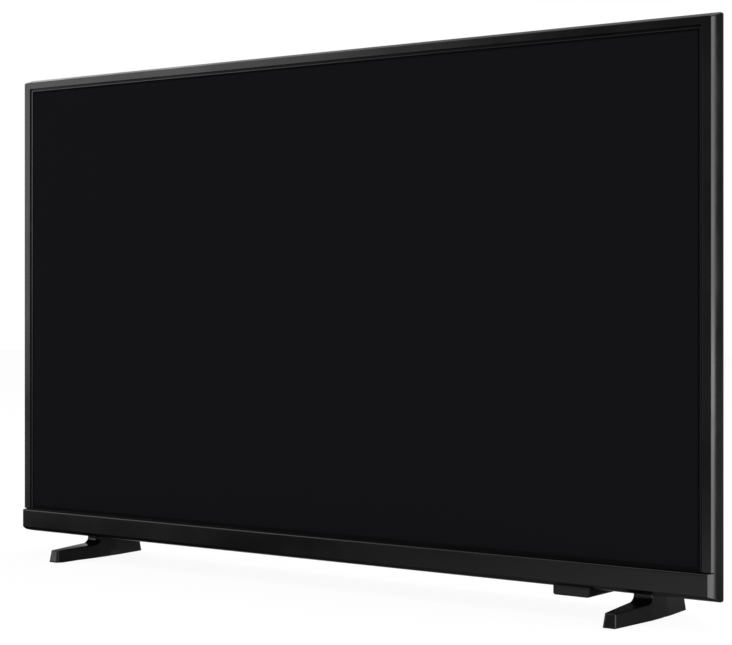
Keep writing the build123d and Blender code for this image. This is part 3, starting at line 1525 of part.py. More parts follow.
with BuildPart() as wiring_leads:
    upright_post(left_lead_place, lead_line, lead_radius, (box_top, low_connector[0]))
    right_box_side = speaker_place - speaker_box_width / 2
    under_box_top = box_top - lead_drop
    right_turn = (right_lead_place, lead_line, under_box_top)
    right_end = (right_box_side, lead_line, under_box_top)
    lead([(right_lead_place, lead_line, low_connector[0]), right_turn, right_end])
    over_box_top = (box_top + board_low) / 2 - lead_radius / 2
    sensor_turns = [
        (sensor_lead_place, lead_line, low_connector[0]),
        (sensor_lead_place, lead_line, over_box_top),
        (lead_hole_place, lead_line, over_box_top),
        (lead_hole_place, lead_line, sensor_board_top),
    ]
    lead(sensor_turns)
    light_turns = [
        (light_lead_place, lead_line, high_connector[1]),
        (light_lead_place, lead_line, active_middle),
        (light_lead_place, tray_floor, active_middle),
    ]
    lead(light_turns)
    for index in range(supply_wires):
        wire_height = supply_middle + (index - (supply_wires - 1) / 2) * supply_wire_pitch
        wire_span = (main_supply[1], power_supply[0])
        cross_post(wire_span, lead_line, wire_height, supply_wire_radius)
    for row in range(strip_rows - 1):
        lower = active_middle + (row - (strip_rows - 1) / 2) * strip_pitch + strip_width / 2
        upper = lower + strip_pitch - strip_width
        for side in sides:
            wire_place = link_place + side * link_pitch / 2
            upright_post(wire_place, strip_front + strip_thickness / 2, link_radius, (lower, upper))
wiring_leads.part.label = "wiring_leads"
export_step(wiring_leads.part, "parts/wiring_leads.step")

ribbon_top = mould_low - nest_gap / 2
ribbon_turns = [
    (rear_glass_front - ribbon_thickness / 2, source_board_top - ribbon_tail),
    (rear_glass_front - ribbon_thickness / 2, ribbon_top),
    (ribbon_rise, ribbon_top),
    (ribbon_rise, over_box_top),
    (lead_line, over_box_top),
    (lead_line, low_connector[0]),
]
with BuildPart() as panel_ribbon:
    ribbon_corners = [(ribbon_place, deep(depth), high(height)) for depth, height in ribbon_turns]
    with BuildLine() as ribbon_route:
        FilletPolyline(*ribbon_corners, radius=ribbon_bend)
    ribbon_path = ribbon_route.wire()
    with BuildSketch(Plane(origin=ribbon_path @ 0, x_dir=(1, 0, 0), z_dir=ribbon_path % 0)):
        Rectangle(ribbon_width, ribbon_thickness)
    sweep(path=ribbon_path)
panel_ribbon.part.label = "panel_ribbon"
export_step(panel_ribbon.part, "parts/panel_ribbon.step")
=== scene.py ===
"""Looks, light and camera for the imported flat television.

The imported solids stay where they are, and every solid gets a procedural material. Copies stand for
the bezel, the screen's front film and the rear cover, with their outer lines moved to where the
photograph has them. Heads with real recesses stand for three kinds of screw. A plain studio and a
camera stand round the set.
All lengths are in metres, in the frame of the solids: X across the screen, Y to the rear, Z up.
"""

from __future__ import annotations

import json
import logging
import math
from dataclasses import dataclass
from enum import Enum

import bmesh
import bpy
from mathutils import Matrix, Vector


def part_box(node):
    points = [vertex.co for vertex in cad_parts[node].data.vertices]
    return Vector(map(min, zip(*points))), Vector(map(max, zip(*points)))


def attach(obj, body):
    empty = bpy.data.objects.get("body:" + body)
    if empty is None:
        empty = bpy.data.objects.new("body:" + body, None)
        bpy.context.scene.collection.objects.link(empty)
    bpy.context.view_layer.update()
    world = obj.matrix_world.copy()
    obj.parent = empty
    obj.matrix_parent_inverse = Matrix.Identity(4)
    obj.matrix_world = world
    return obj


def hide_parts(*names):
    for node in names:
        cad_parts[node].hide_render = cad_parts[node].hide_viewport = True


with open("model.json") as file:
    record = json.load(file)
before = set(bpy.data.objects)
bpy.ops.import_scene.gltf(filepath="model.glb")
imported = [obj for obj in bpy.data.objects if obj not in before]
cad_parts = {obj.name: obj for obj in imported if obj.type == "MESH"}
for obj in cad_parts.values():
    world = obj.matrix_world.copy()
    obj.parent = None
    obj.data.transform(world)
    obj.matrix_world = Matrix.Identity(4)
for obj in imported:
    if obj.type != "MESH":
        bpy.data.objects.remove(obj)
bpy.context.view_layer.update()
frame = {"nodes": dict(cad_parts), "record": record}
LOG = logging.getLogger("television")
WHITE = (1.0, 1.0, 1.0, 1.0)

Node = bpy.types.Node
Socket = bpy.types.NodeSocket
Colour = tuple[float, float, float]
Point = tuple[float, float, float]
Span = tuple[float, float]
Line = tuple[tuple[float, float], ...]


class Kind(Enum):
    """The families of finish, each with its own way of building a material."""

    PLASTIC = "plastic"
    METAL = "metal"
    GLASS = "glass"
    BOARD = "board"
    SCREEN = "screen"
    FABRIC = "fabric"


@dataclass(frozen=True)
class Finish:
    """One finish of the set.

    Attributes:
        colour: Linear base colour.
        roughness: Middle value of the roughness.
        kind: The family that the finish belongs to.
        grain: Size of the moulded or rolled grain, in metres.
        depth: Height of the grain, in metres.
        tone: Share by which the colour wanders over the surface.
        ior: Index of refraction.
        round_edge: Radius over which sharp edges catch light, in metres, or none at zero.
        wear: How much lighter a rubbed edge is.
        specular: Strength of the clear reflection, where 0.5 is a plain surface.
        crowned: Whether the flared sides are slightly domed from front to rear.
        rim_shadowed: Whether the front rim gets a painted shadow of the gap behind the bezel, and is made
            matt.
    """

    colour: Colour
    roughness: float
    kind: Kind = Kind.PLASTIC
    grain: float = 0.0006
    depth: float = 0.00001
    tone: float = 0.1
    ior: float = 1.5
    round_edge: float = 0.0
    wear: float = 0.0
    specular: float = 0.5
    crowned: bool = False
    rim_shadowed: bool = False


BLACK = (0.004, 0.004, 0.0044)
FINISHES: dict[str, Finish] = {
    "bezel": Finish(BLACK, 0.22, grain=0.0005, depth=0.000003, round_edge=0.0003, wear=0.02, crowned=True),
    "bar": Finish(BLACK, 0.22, grain=0.0005, depth=0.000003, round_edge=0.0004, wear=0.02, crowned=True),
    "screen": Finish(
        (0.0149, 0.0149, 0.0168), 0.5, kind=Kind.SCREEN, grain=0.0003, depth=0.000001, tone=0.0, specular=0.0
    ),
    "panel_glass": Finish(
        (0.004, 0.004, 0.005), 0.3, kind=Kind.GLASS, grain=0.002, depth=0.000001, tone=0.05, ior=1.52,
        specular=0.12,
    ),
    "film": Finish((0.02, 0.02, 0.022), 0.2, grain=0.001, depth=0.000002, tone=0.12),
    "foam": Finish((0.012, 0.012, 0.012), 0.95, kind=Kind.FABRIC, depth=0.00008, tone=0.12),
    "driver_film": Finish((0.33, 0.16, 0.04), 0.3, grain=0.0008, depth=0.000003, tone=0.3),
    "circuit_board": Finish(
        (0.012, 0.085, 0.035), 0.35, kind=Kind.BOARD, grain=0.004, depth=0.00003, tone=0.4
    ),
    "power_board": Finish((0.34, 0.24, 0.1), 0.5, kind=Kind.BOARD, grain=0.006, depth=0.00003, tone=0.3),
    "ribbon": Finish((0.62, 0.62, 0.58), 0.4, kind=Kind.BOARD, grain=0.0011, depth=0.00002, tone=0.3),
    "inner_plastic": Finish((0.02, 0.02, 0.021), 0.5, grain=0.0007, tone=0.12),
    "light_sheet": Finish((0.76, 0.77, 0.78), 0.35, grain=0.0004, depth=0.000004, tone=0.04),
    "diffuser": Finish((0.82, 0.83, 0.83), 0.55, grain=0.0005, depth=0.000005, tone=0.04),
    "white_plastic": Finish((0.72, 0.7, 0.64), 0.4, grain=0.0009, depth=0.000006, tone=0.08),
    "reflector": Finish((0.85, 0.85, 0.84), 0.6, grain=0.0008, depth=0.000008, tone=0.05),
    "light_strip": Finish((0.75, 0.75, 0.74), 0.45, kind=Kind.METAL, grain=0.001, depth=0.000004),
    "lens": Finish((0.78, 0.8, 0.82), 0.08, grain=0.002, depth=0.000002, tone=0.03),
    "steel_sheet": Finish((0.52, 0.53, 0.54), 0.38, kind=Kind.METAL, grain=0.0035, tone=0.25),
    "steel_post": Finish(
        (0.5, 0.5, 0.51), 0.32, kind=Kind.METAL, grain=0.0008, depth=0.000004, tone=0.2, round_edge=0.0002
    ),
    "screw": Finish((0.52, 0.52, 0.53), 0.3, kind=Kind.METAL, depth=0.000003, tone=0.2, round_edge=0.0001),
    "black_screw": Finish(
        (0.05, 0.05, 0.052), 0.42, kind=Kind.METAL, grain=0.0004, depth=0.000003, tone=0.25, round_edge=0.0001
    ),
    "chip": Finish((0.016, 0.016, 0.018), 0.45, grain=0.0004, depth=0.000006, tone=0.15, round_edge=0.0001),
    "heat_sink": Finish((0.48, 0.48, 0.49), 0.4, kind=Kind.METAL, grain=0.0012, depth=0.000006, tone=0.15),
    "antenna_metal": Finish(
        (0.68, 0.68, 0.69), 0.16, kind=Kind.METAL, grain=0.0009, depth=0.000002, round_edge=0.0003
    ),
    "socket_metal": Finish(
        (0.58, 0.58, 0.6), 0.28, kind=Kind.METAL, grain=0.0009, depth=0.000003, tone=0.15, round_edge=0.0002
    ),
    "network_plastic": Finish((0.02, 0.02, 0.021), 0.38, grain=0.0005, depth=0.000006, round_edge=0.0002),
    "terminal_plastic": Finish((0.026, 0.026, 0.028), 0.5),
    "transformer": Finish((0.42, 0.3, 0.03), 0.4, grain=0.0012, tone=0.25),
    "capacitor": Finish((0.012, 0.012, 0.03), 0.25, grain=0.0015, depth=0.000003),
    "inlet_plastic": Finish((0.016, 0.016, 0.017), 0.36, depth=0.000006, round_edge=0.0003),
    "pin_metal": Finish((0.62, 0.58, 0.46), 0.2, kind=Kind.METAL, depth=0.000002, tone=0.15),
    "lead_jacket": Finish((0.02, 0.02, 0.021), 0.42, grain=0.001, depth=0.000006, tone=0.15),
    "speaker_metal": Finish((0.06, 0.06, 0.062), 0.4, kind=Kind.METAL, depth=0.000005, tone=0.15),
    "magnet": Finish((0.09, 0.09, 0.095), 0.55, kind=Kind.METAL, grain=0.0005, tone=0.3),
    "cone_paper": Finish((0.025, 0.025, 0.026), 0.9, kind=Kind.FABRIC, grain=0.0005, depth=0.00003, tone=0.3),
    "surround_rubber": Finish((0.014, 0.014, 0.014), 0.6, grain=0.0008, depth=0.000006),
    "cover": Finish(
        (0.014, 0.014, 0.0148), 0.46, grain=0.0009, depth=0.000022, tone=0.14,
        round_edge=0.0006, wear=0.02, rim_shadowed=True,
    ),
    "leg": Finish(BLACK, 0.24, depth=0.000003, round_edge=0.0018, wear=0.03),
    "pad_rubber": Finish((0.012, 0.012, 0.012), 0.75, grain=0.0005, tone=0.15),
    "module_plastic": Finish(
        (0.0045, 0.0045, 0.005), 0.3, grain=0.0005, depth=0.000004, round_edge=0.0003, wear=0.02
    ),
    "module_window": Finish((0.006, 0.004, 0.005), 0.1, grain=0.003, depth=0.000001, tone=0.05),
    "button_plastic": Finish(
        (0.011, 0.011, 0.012), 0.34, grain=0.0005, depth=0.000005, round_edge=0.0003, wear=0.03
    ),
}


class NodeTree:
    """Adds and joins nodes of one shader tree or group."""

    def __init__(self, tree: bpy.types.NodeTree) -> None:
        """Take the material's tree or the node group that is filled."""
        self.tree = tree

    def add(self, kind: str, values: dict | None = None, **props: object) -> Node:
        """Add a node.

        Args:
            kind: The node's type name.
            values: Default values or source sockets, by input name or index.
            props: Properties of the node.

        Returns:
            The new node.
        """
        node = self.tree.nodes.new(kind)
        for key, value in props.items():
            setattr(node, key, value)
        for key, value in (values or {}).items():
            if isinstance(value, Socket):
                self.tree.links.new(value, node.inputs[key])
            else:
                node.inputs[key].default_value = value
        return node

    def link(self, source: Socket, node: Node, key: str) -> None:
        """Join a socket to a node's input."""
        self.tree.links.new(source, node.inputs[key])

    def place(self) -> Socket:
        """Give the place on the object, in metres."""
        return self.add("ShaderNodeTexCoord").outputs["Object"]

    def axes(self, vector: Socket) -> bpy.types.bpy_prop_collection:
        """Give the sockets X, Y and Z of a vector."""
        return self.add("ShaderNodeSeparateXYZ", {0: vector}).outputs

    def noise(self, place: object, scale: object, detail: float, roughness: float = 0.5) -> Socket:
        """Add a Noise texture and give its value."""
        values = {"Vector": place, "Scale": scale, "Detail": detail, "Roughness": roughness}
        return self.add("ShaderNodeTexNoise", values).outputs[0]

    def math(self, operation: str, *terms: object) -> Socket:
        """Add a Math node for numbers or sockets and give its result."""
        return self.add("ShaderNodeMath", dict(enumerate(terms)), operation=operation).outputs[0]

    def ramp(self, value: object, low: float, high: float, start: object = 0.0, end: object = 1.0) -> Socket:
        """Map a value smoothly from one range to another.

        Args:
            value: The socket that is mapped.
            low: Where the input range starts.
            high: Where the input range ends.
            start: The result at the start, as a number or a socket.
            end: The result at the end, as a number or a socket.

        Returns:
            The result's socket.
        """
        values = {0: value, 1: low, 2: high, 3: start, 4: end}
        node = self.add("ShaderNodeMapRange", values, interpolation_type="SMOOTHSTEP")
        return node.outputs[0]

    def mix(self, share: object, first: object, second: object) -> Socket:
        """Mix two colours.

        Args:
            share: How much of the second colour shows.
            first: Colour or socket at a share of 0.
            second: Colour or socket at a share of 1.

        Returns:
            The mixed colour's socket.
        """
        values = {0: share, 6: first, 7: second}
        node = self.add("ShaderNodeMix", values, data_type="RGBA")
        return node.outputs[2]


def shade(colour: Colour, gain: float = 1.0) -> tuple[float, float, float, float]:
    """Give a colour made lighter or darker, with full alpha."""
    red, green, blue = (min(1.0, part * gain) for part in colour)
    return (red, green, blue, 1.0)


def empty_material(name: str) -> tuple[bpy.types.Material, NodeTree]:
    """Make a material without nodes.

    Args:
        name: The material's name.

    Returns:
        The material and its tree.
    """
    material = bpy.data.materials.new(name)
    material.use_nodes = True
    material.node_tree.nodes.clear()
    return material, NodeTree(material.node_tree)


def put(name: str, data: bpy.types.ID) -> bpy.types.Object:
    """Put a new object into the scene.

    Args:
        name: The object's name.
        data: Its mesh, light or camera.

    Returns:
        The object.
    """
    thing = bpy.data.objects.new(name, data)
    bpy.context.scene.collection.objects.link(thing)
    return thing


class Effects:
    """Shader node groups that the materials share."""

    def __init__(self) -> None:
        """Build every group once."""
        self.grain = self._grain()
        self.edge = self._edge()
        self.brushing = self._brushing()
        self.dust = self._dust()
        self.crown = self._crown()

    @staticmethod
    def _group(name: str, inputs: dict[str, float], outputs: tuple[str, ...]) -> tuple[NodeTree, Node, Node]:
        """Start a group.

        Args:
            name: The group's name.
            inputs: Names and default values of its number inputs.
            outputs: Names of its outputs, which are numbers but for a normal.

        Returns:
            The tree, its input node and its output node.
        """
        group = bpy.data.node_groups.new(name, "ShaderNodeTree")
        for label, value in inputs.items():
            socket = group.interface.new_socket(label, in_out="INPUT", socket_type="NodeSocketFloat")
            socket.default_value = value
        for label in outputs:
            kind = "NodeSocketVector" if label == "Normal" else "NodeSocketFloat"
            group.interface.new_socket(label, in_out="OUTPUT", socket_type=kind)
        tree = NodeTree(group)
        return tree, tree.add("NodeGroupInput"), tree.add("NodeGroupOutput")

    def _grain(self) -> bpy.types.NodeTree:
        """Build fine moulded grain with a slow wander of tone."""
        tree, start, end = self._group("moulded_grain", {"Size": 0.001}, ("Height", "Tone"))
        place = tree.place()
        scale = tree.math("DIVIDE", 1.0, start.outputs["Size"])
        fine = tree.noise(place, scale, 2.0, 0.6)
        cells = tree.add("ShaderNodeTexVoronoi", {"Vector": place, "Scale": scale}, feature="SMOOTH_F1")
        blend = tree.math("MULTIPLY_ADD", cells.outputs["Distance"], 0.5, fine)
        slow = tree.noise(place, 14.0, 4.0, 0.55)
        tree.link(blend, end, "Height")
        tree.link(tree.ramp(slow, 0.3, 0.7), end, "Tone")
        return tree.tree

    def _edge(self) -> bpy.types.NodeTree:
        """Build softened edges and the mask of where they are rubbed."""
        tree, start, end = self._group("soft_edges", {"Radius": 0.0005}, ("Normal", "Mask"))
        bevel = tree.add("ShaderNodeBevel", {"Radius": start.outputs["Radius"]}, samples=6)
        flat = tree.add("ShaderNodeNewGeometry").outputs["Normal"]
        turn = tree.add("ShaderNodeVectorMath", {0: bevel.outputs[0], 1: flat}, operation="DOT_PRODUCT")
        place = tree.place()
        noise = tree.noise(place, 90.0, 3.0)
        mask = tree.ramp(turn.outputs["Value"], 0.995, 0.86)
        patchy = tree.ramp(noise, 0.35, 0.7, 0.2)
        tree.link(tree.math("MULTIPLY", mask, patchy), end, "Mask")
        tree.link(bevel.outputs[0], end, "Normal")
        return tree.tree

    def _brushing(self) -> bpy.types.NodeTree:
        """Build the drawn lines of rolled or turned metal."""
        tree, start, end = self._group("drawn_lines", {"Size": 0.001}, ("Height", "Tone"))
        place = tree.place()
        scale = tree.math("DIVIDE", 1.0, start.outputs["Size"])
        along = tree.add("ShaderNodeMapping", {"Vector": place, "Scale": (0.04, 1.0, 1.0)})
        lines = tree.noise(along.outputs[0], scale, 3.0)
        cloud = tree.add("ShaderNodeTexVoronoi", {"Vector": place, "Scale": 120.0}, feature="F1")
        tree.link(lines, end, "Height")
        tree.link(tree.ramp(cloud.outputs["Distance"], 0.1, 0.8), end, "Tone")
        return tree.tree

    def _crown(self) -> bpy.types.NodeTree:
        """Build the slight dome of the flared sides between their front and their rear."""
        inputs = {"Front": -0.0299, "Rear": -0.0157, "Rise": 0.003}
        tree, start, end = self._group("domed_side", inputs, ("Height",))
        depth = tree.axes(tree.place())["Y"]
        limits = {0: depth, 1: start.outputs["Front"], 2: start.outputs["Rear"]}
        share = tree.add("ShaderNodeMapRange", limits)
        offset = tree.math("SUBTRACT", share.outputs[0], 0.5)
        fall = tree.math("MULTIPLY", tree.math("MULTIPLY", offset, offset), start.outputs["Rise"])
        tree.link(tree.math("MULTIPLY", fall, -1.0), end, "Height")
        return tree.tree

    def _dust(self) -> bpy.types.NodeTree:
        """Build the thin dust that settles on faces that look up."""
        tree, start, end = self._group("settled_dust", {"Amount": 0.2}, ("Mask",))
        place = tree.place()
        noise = tree.noise(place, 60.0, 6.0, 0.7)
        normal = tree.add("ShaderNodeNewGeometry").outputs["Normal"]
        upward = tree.axes(normal)["Z"]
        facing = tree.ramp(upward, 0.55, 1.0)
        patch = tree.ramp(noise, 0.4, 0.75, 0.15)
        amount = tree.math("MULTIPLY", start.outputs["Amount"], patch)
        tree.link(tree.math("MULTIPLY", facing, amount), end, "Mask")
        return tree.tree


@dataclass(frozen=True)
class ScreenLayout:
    """Where the picture, its border, the painted shadow of the bezel's recess and the painted highlight on
    the film's cut edge lie on the screen.

    Attributes:
        half: Half the film's width, in metres.
        border: Width of the unlit border, from the film's edge, in metres.
        border_blur: Share of its width over which the border ends.
        border_gain: How much darker the border is than the picture.
        recess_shadow: Width of the painted shadow of the bezel's recess, the darkest line, from the film's
            edge, in metres.
        recess_shadow_blur: Share of its width over which that painted shadow ends.
        recess_shadow_gain: How much darker that painted shadow is.
        edge_highlight: Width of the painted highlight along the film's cut edge, in metres.
        edge_highlight_blur: Share of its width over which the painted highlight ends.
        side_gain: How much lighter the painted highlight is along the left side, where most light falls.
        top_gain: How much lighter it is along the top, at its left.
        dim_gain: How much lighter it is at the right and at the bottom, where less light falls.
        corner_blur: Half the width over which the side's line gives way to the top's, in metres.
        side_fade: Heights between which the side's line dims.
        side_dimmed: Share by which it has dimmed at its foot.
        top_fade: Places across the set between which the top's line dims.
    """

    half: float = 0.3519
    border: float = 0.0029
    border_blur: float = 0.03
    border_gain: float = 0.7
    recess_shadow: float = 0.0018
    recess_shadow_blur: float = 0.1
    recess_shadow_gain: float = 0.35
    edge_highlight: float = 0.0007
    edge_highlight_blur: float = 0.2
    side_gain: float = 22.0
    top_gain: float = 11.0
    dim_gain: float = 2.6
    corner_blur: float = 0.001
    side_fade: Span = (0.4, 0.1)
    side_dimmed: float = 0.8
    top_fade: Span = (-0.28, 0.2)


@dataclass(frozen=True)
class BoardLayout:
    """The tracks and pads under a board's coating.

    Attributes:
        track_scale: Number of track cells in one grain.
        bands: Number of tracks in a cell.
        track_edge: Parts of a band where a track starts and is full.
        track_share: How strongly a track shows.
        track_gain: How much lighter a track is than the coating.
        pad_scale: Number of pads in one grain.
        pad_edge: Distances from a pad's middle where it ends and where it is full.
        pad_colour: Colour of a tinned pad.
    """

    track_scale: float = 0.5
    bands: float = 5.0
    track_edge: Span = (0.5, 0.62)
    track_share: float = 0.6
    track_gain: float = 1.9
    pad_scale: float = 0.6
    pad_edge: Span = (0.16, 0.12)
    pad_colour: Colour = (0.55, 0.56, 0.55)


@dataclass(frozen=True)
class Touches:
    """What materials of different finishes have in common.

    Attributes:
        dust_colour: Colour of settled dust.
        dust_amount: Share of a level face that the dust hides.
        wear_gain: How much lighter a rubbed edge is, for a wear of one.
        wear_share: Share of that lighter colour on a rubbed edge.
        sheen: Strength of the soft sheen of foam and paper.
        wander: Share of the roughness by which it wanders over a surface.
        wander_limit: The most by which it wanders.
        rim: Depths behind the cover's front where the painted shadow on its rim has ended and where it is
            full.
        rim_shadow_gain: How much darker the painted shadow makes the rim than the cover.
        rim_roughness: The rim's roughness.
        dome: Rise of the flared sides' dome, as the group takes it.
    """

    dust_colour: Colour = (0.2, 0.195, 0.185)
    dust_amount: float = 0.05
    wear_gain: float = 60.0
    wear_share: float = 0.5
    sheen: float = 0.2
    wander: float = 0.25
    wander_limit: float = 0.08
    rim: Span = (0.0014, 0.001)
    rim_shadow_gain: float = 0.1
    rim_roughness: float = 0.95
    dome: float = 0.0034


class Surface:
    """The nodes of one material."""

    screen = ScreenLayout()
    board = BoardLayout()
    touches = Touches()

    def __init__(self, tree: NodeTree, finish: Finish, effects: Effects) -> None:
        """Keep what the nodes are made from.

        Args:
            tree: The material's tree, without nodes.
            finish: The finish that is shown.
            effects: The shared shader groups.
        """
        self.tree = tree
        self.finish = finish
        self.effects = effects
        pattern = effects.brushing if finish.kind is Kind.METAL else effects.grain
        self.grain = self._place(pattern, Size=finish.grain)
        self.edge = self._place(effects.edge, Radius=finish.round_edge) if finish.round_edge else None

    def build(self) -> None:
        """Join colour, roughness and normal to one shader."""
        tree, finish, touches = self.tree, self.finish, self.touches
        constants = {
            "IOR": finish.ior,
            "Specular IOR Level": finish.specular,
            "Metallic": float(finish.kind is Kind.METAL),
            "Sheen Weight": touches.sheen if finish.kind is Kind.FABRIC else 0.0,
        }
        shader = tree.add("ShaderNodeBsdfPrincipled", constants)
        tree.add("ShaderNodeOutputMaterial", {0: shader.outputs[0]})
        colour = self._colour()
        spread = min(touches.wander_limit, finish.roughness * touches.wander)
        limits = (finish.roughness - spread, finish.roughness + spread)
        rough = tree.ramp(self.grain.outputs["Tone"], 0.0, 1.0, *limits)
        # Painted shadow of the gap behind the bezel: the cover's rim is darkened, and it is made matt
        if finish.rim_shadowed:
            rim = self._rim_shadow()
            colour = tree.mix(rim, colour, shade(finish.colour, touches.rim_shadow_gain))
            rough = tree.ramp(rim, 0.0, 1.0, rough, touches.rim_roughness)
        tree.link(colour, shader, "Base Color")
        tree.link(rough, shader, "Roughness")
        tree.link(self._normal(), shader, "Normal")

    def _place(self, group: bpy.types.NodeTree, **values: float) -> Node:
        """Place a shared group with its own values.

        Args:
            group: The shared group.
            values: Input values by name.

        Returns:
            The group node.
        """
        node = self.tree.add("ShaderNodeGroup", {}, node_tree=group)
        for label, value in values.items():
            node.inputs[label].default_value = value
        return node

    def _colour(self) -> Socket:
        """Lay tone, wear, drawing and dust over one another."""
        tree, finish, touches = self.tree, self.finish, self.touches
        dark = shade(finish.colour, 1 - finish.tone)
        light = shade(finish.colour, 1 + finish.tone)
        colour = tree.mix(self.grain.outputs["Tone"], dark, light)
        if self.edge is not None and finish.wear:
            rubbed = shade(finish.colour, 1 + finish.wear * touches.wear_gain)
            share = tree.math("MULTIPLY", self.edge.outputs["Mask"], touches.wear_share)
            colour = tree.mix(share, colour, rubbed)
        if finish.kind is Kind.BOARD:
            colour = self._tracks(colour)
        if finish.kind is Kind.SCREEN:
            colour = self._picture(colour)
        if finish.kind in (Kind.PLASTIC, Kind.FABRIC):
            dust = self._place(self.effects.dust, Amount=touches.dust_amount)
            colour = tree.mix(dust.outputs["Mask"], colour, shade(touches.dust_colour))
        return colour

    def _normal(self) -> Socket:
        """Lay the soft edges, the dome of the flared sides and the grain over one another."""
        normal = self.edge.outputs["Normal"] if self.edge is not None else None
        if self.finish.crowned:
            crown = self._place(self.effects.crown, Rise=self.touches.dome)
            normal = self._bump(crown.outputs["Height"], 1.0, normal)
        return self._bump(self.grain.outputs["Height"], self.finish.depth, normal)

    def _bump(self, height: Socket, distance: float, normal: Socket | None) -> Socket:
        """Bend a normal, or the plain one, by a height of which one stands for a distance in metres."""
        values = {"Strength": 1.0, "Distance": distance, "Height": height}
        if normal is not None:
            values["Normal"] = normal
        return self.tree.add("ShaderNodeBump", values).outputs[0]

    def _rim_shadow(self) -> Socket:
        """Mark the cover's rim, just behind the bezel, where a shadow of the gap is painted."""
        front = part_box("rear_cover")[0][1]
        ended, full = self.touches.rim
        return self.tree.ramp(self.tree.axes(self.tree.place())["Y"], front + ended, front + full)

    def _tracks(self, base: Socket) -> Socket:
        """Draw copper tracks and pads under a board's coating."""
        tree, board, finish = self.tree, self.board, self.finish
        place = tree.place()
        cell = {"Vector": place, "Scale": board.track_scale / finish.grain}
        cells = tree.add("ShaderNodeTexVoronoi", cell, distance="MANHATTAN")
        bands = tree.math("FRACT", tree.math("MULTIPLY", cells.outputs["Distance"], board.bands))
        track = tree.ramp(bands, *board.track_edge, 0.0, board.track_share)
        pads = tree.add("ShaderNodeTexVoronoi", {"Vector": place, "Scale": board.pad_scale / finish.grain})
        pad = tree.ramp(pads.outputs["Distance"], *board.pad_edge)
        traced = tree.mix(track, base, shade(finish.colour, board.track_gain))
        return tree.mix(pad, traced, shade(board.pad_colour))

    def _near(self, distance: Socket, width: float, blur: float) -> Socket:
        """Mark what lies within a width, which ends over a share of itself."""
        return self.tree.ramp(distance, width * (1 + blur), width * (1 - blur))

    def _picture(self, base: Socket) -> Socket:
        """Darken the screen's unlit border, paint the shadow of the bezel's recess and paint a highlight on
        the film's cut edge.
        """
        tree, layout, colour = self.tree, self.screen, self.finish.colour
        low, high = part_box("front_polarizer")
        axes = tree.axes(tree.place())
        across = tree.math("SUBTRACT", layout.half, tree.math("ABSOLUTE", axes["X"]))
        downward = tree.math("SUBTRACT", high[2], axes["Z"])
        upward = tree.math("SUBTRACT", axes["Z"], low[2])
        seen = tree.math("MINIMUM", across, downward)
        border = self._near(tree.math("MINIMUM", seen, upward), layout.border, layout.border_blur)
        # Painted shadow of the bezel's recess: a dark line along the sides and the top
        recess_shadow = self._near(seen, layout.recess_shadow, layout.recess_shadow_blur)
        # Painted highlight along the film's cut edge
        line = self._near(seen, layout.edge_highlight, layout.edge_highlight_blur)
        framed = tree.mix(border, base, shade(colour, layout.border_gain))
        recess_shadowed = tree.mix(recess_shadow, framed, shade(colour, layout.recess_shadow_gain))
        # The painted highlight is lightest along the left side and the top's left, where most light falls,
        # and dimmer to the right and lower down
        gains = (layout.side_gain, layout.top_gain, layout.dim_gain)
        side, top, dim = (shade(colour, gain) for gain in gains)
        falling = tree.mix(tree.ramp(axes["Z"], *layout.side_fade, 0.0, layout.side_dimmed), side, dim)
        beyond = tree.math("SUBTRACT", downward, across)
        corner = tree.ramp(beyond, -layout.corner_blur, layout.corner_blur)
        bright = tree.mix(corner, top, falling)
        lit = tree.mix(tree.ramp(axes["X"], *layout.top_fade), bright, dim)
        return tree.mix(line, recess_shadowed, lit)


class Materials:
    """Builds the material of every finish once."""

    def __init__(self, effects: Effects) -> None:
        """Keep the shared shader groups."""
        self.effects = effects
        self.made: dict[str, bpy.types.Material] = {}

    def get(self, slot: str) -> bpy.types.Material:
        """Give a slot's material, and build it the first time.

        Args:
            slot: The record's material slot.

        Returns:
            The material.
        """
        if slot not in self.made:
            self.made[slot], tree = empty_material(slot)
            Surface(tree, FINISHES[slot], self.effects).build()
        return self.made[slot]


def dress(materials: Materials) -> None:
    """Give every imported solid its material."""
    slots = {entry["node"]: entry["material_slot"] for entry in frame["record"]["subparts"]}
    for name, solid in frame["nodes"].items():
        solid.data.materials.clear()
        solid.data.materials.append(materials.get(slots[name]))
        LOG.info("dressed %s as %s", name, slots[name])


@dataclass(frozen=True)
class Refit:
    """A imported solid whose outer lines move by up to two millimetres, to where the photograph has them.

    Attributes:
        name: The new piece's name.
        node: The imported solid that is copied.
        slot: The material slot it takes.
        across: Old and new distances from the middle, in metres.
        along: Old and new depths, in metres.
        upward: Old and new heights, in metres.
    """

    name: str
    node: str
    slot: str
    across: Line = ()
    along: Line = ()
    upward: Line = ()

    @staticmethod
    def _moved(value: float, line: Line) -> float:
        """Move a coordinate along a broken line, given as rising pairs of old and new coordinates."""
        if not line:
            return value
        for (low, new_low), (high, new_high) in zip(line, line[1:]):
            if low <= value <= high:
                return new_low + (value - low) * (new_high - new_low) / (high - low)
        old, new = line[0] if value < line[0][0] else line[-1]
        return value + new - old

    def build(self, materials: Materials) -> None:
        """Copy the solid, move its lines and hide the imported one."""
        mesh = frame["nodes"][self.node].data.copy()
        mesh.name = self.name
        for vert in mesh.vertices:
            across, along, upward = vert.co
            vert.co.x = math.copysign(self._moved(abs(across), self.across), across)
            vert.co.y = self._moved(along, self.along)
            vert.co.z = self._moved(upward, self.upward)
        mesh.update()
        piece = put(self.name, mesh)
        mesh.materials.clear()
        mesh.materials.append(materials.get(self.slot))
        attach(piece, "cabinet")
        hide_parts(self.node)
        LOG.info("refitted %s as %s", self.node, self.name)


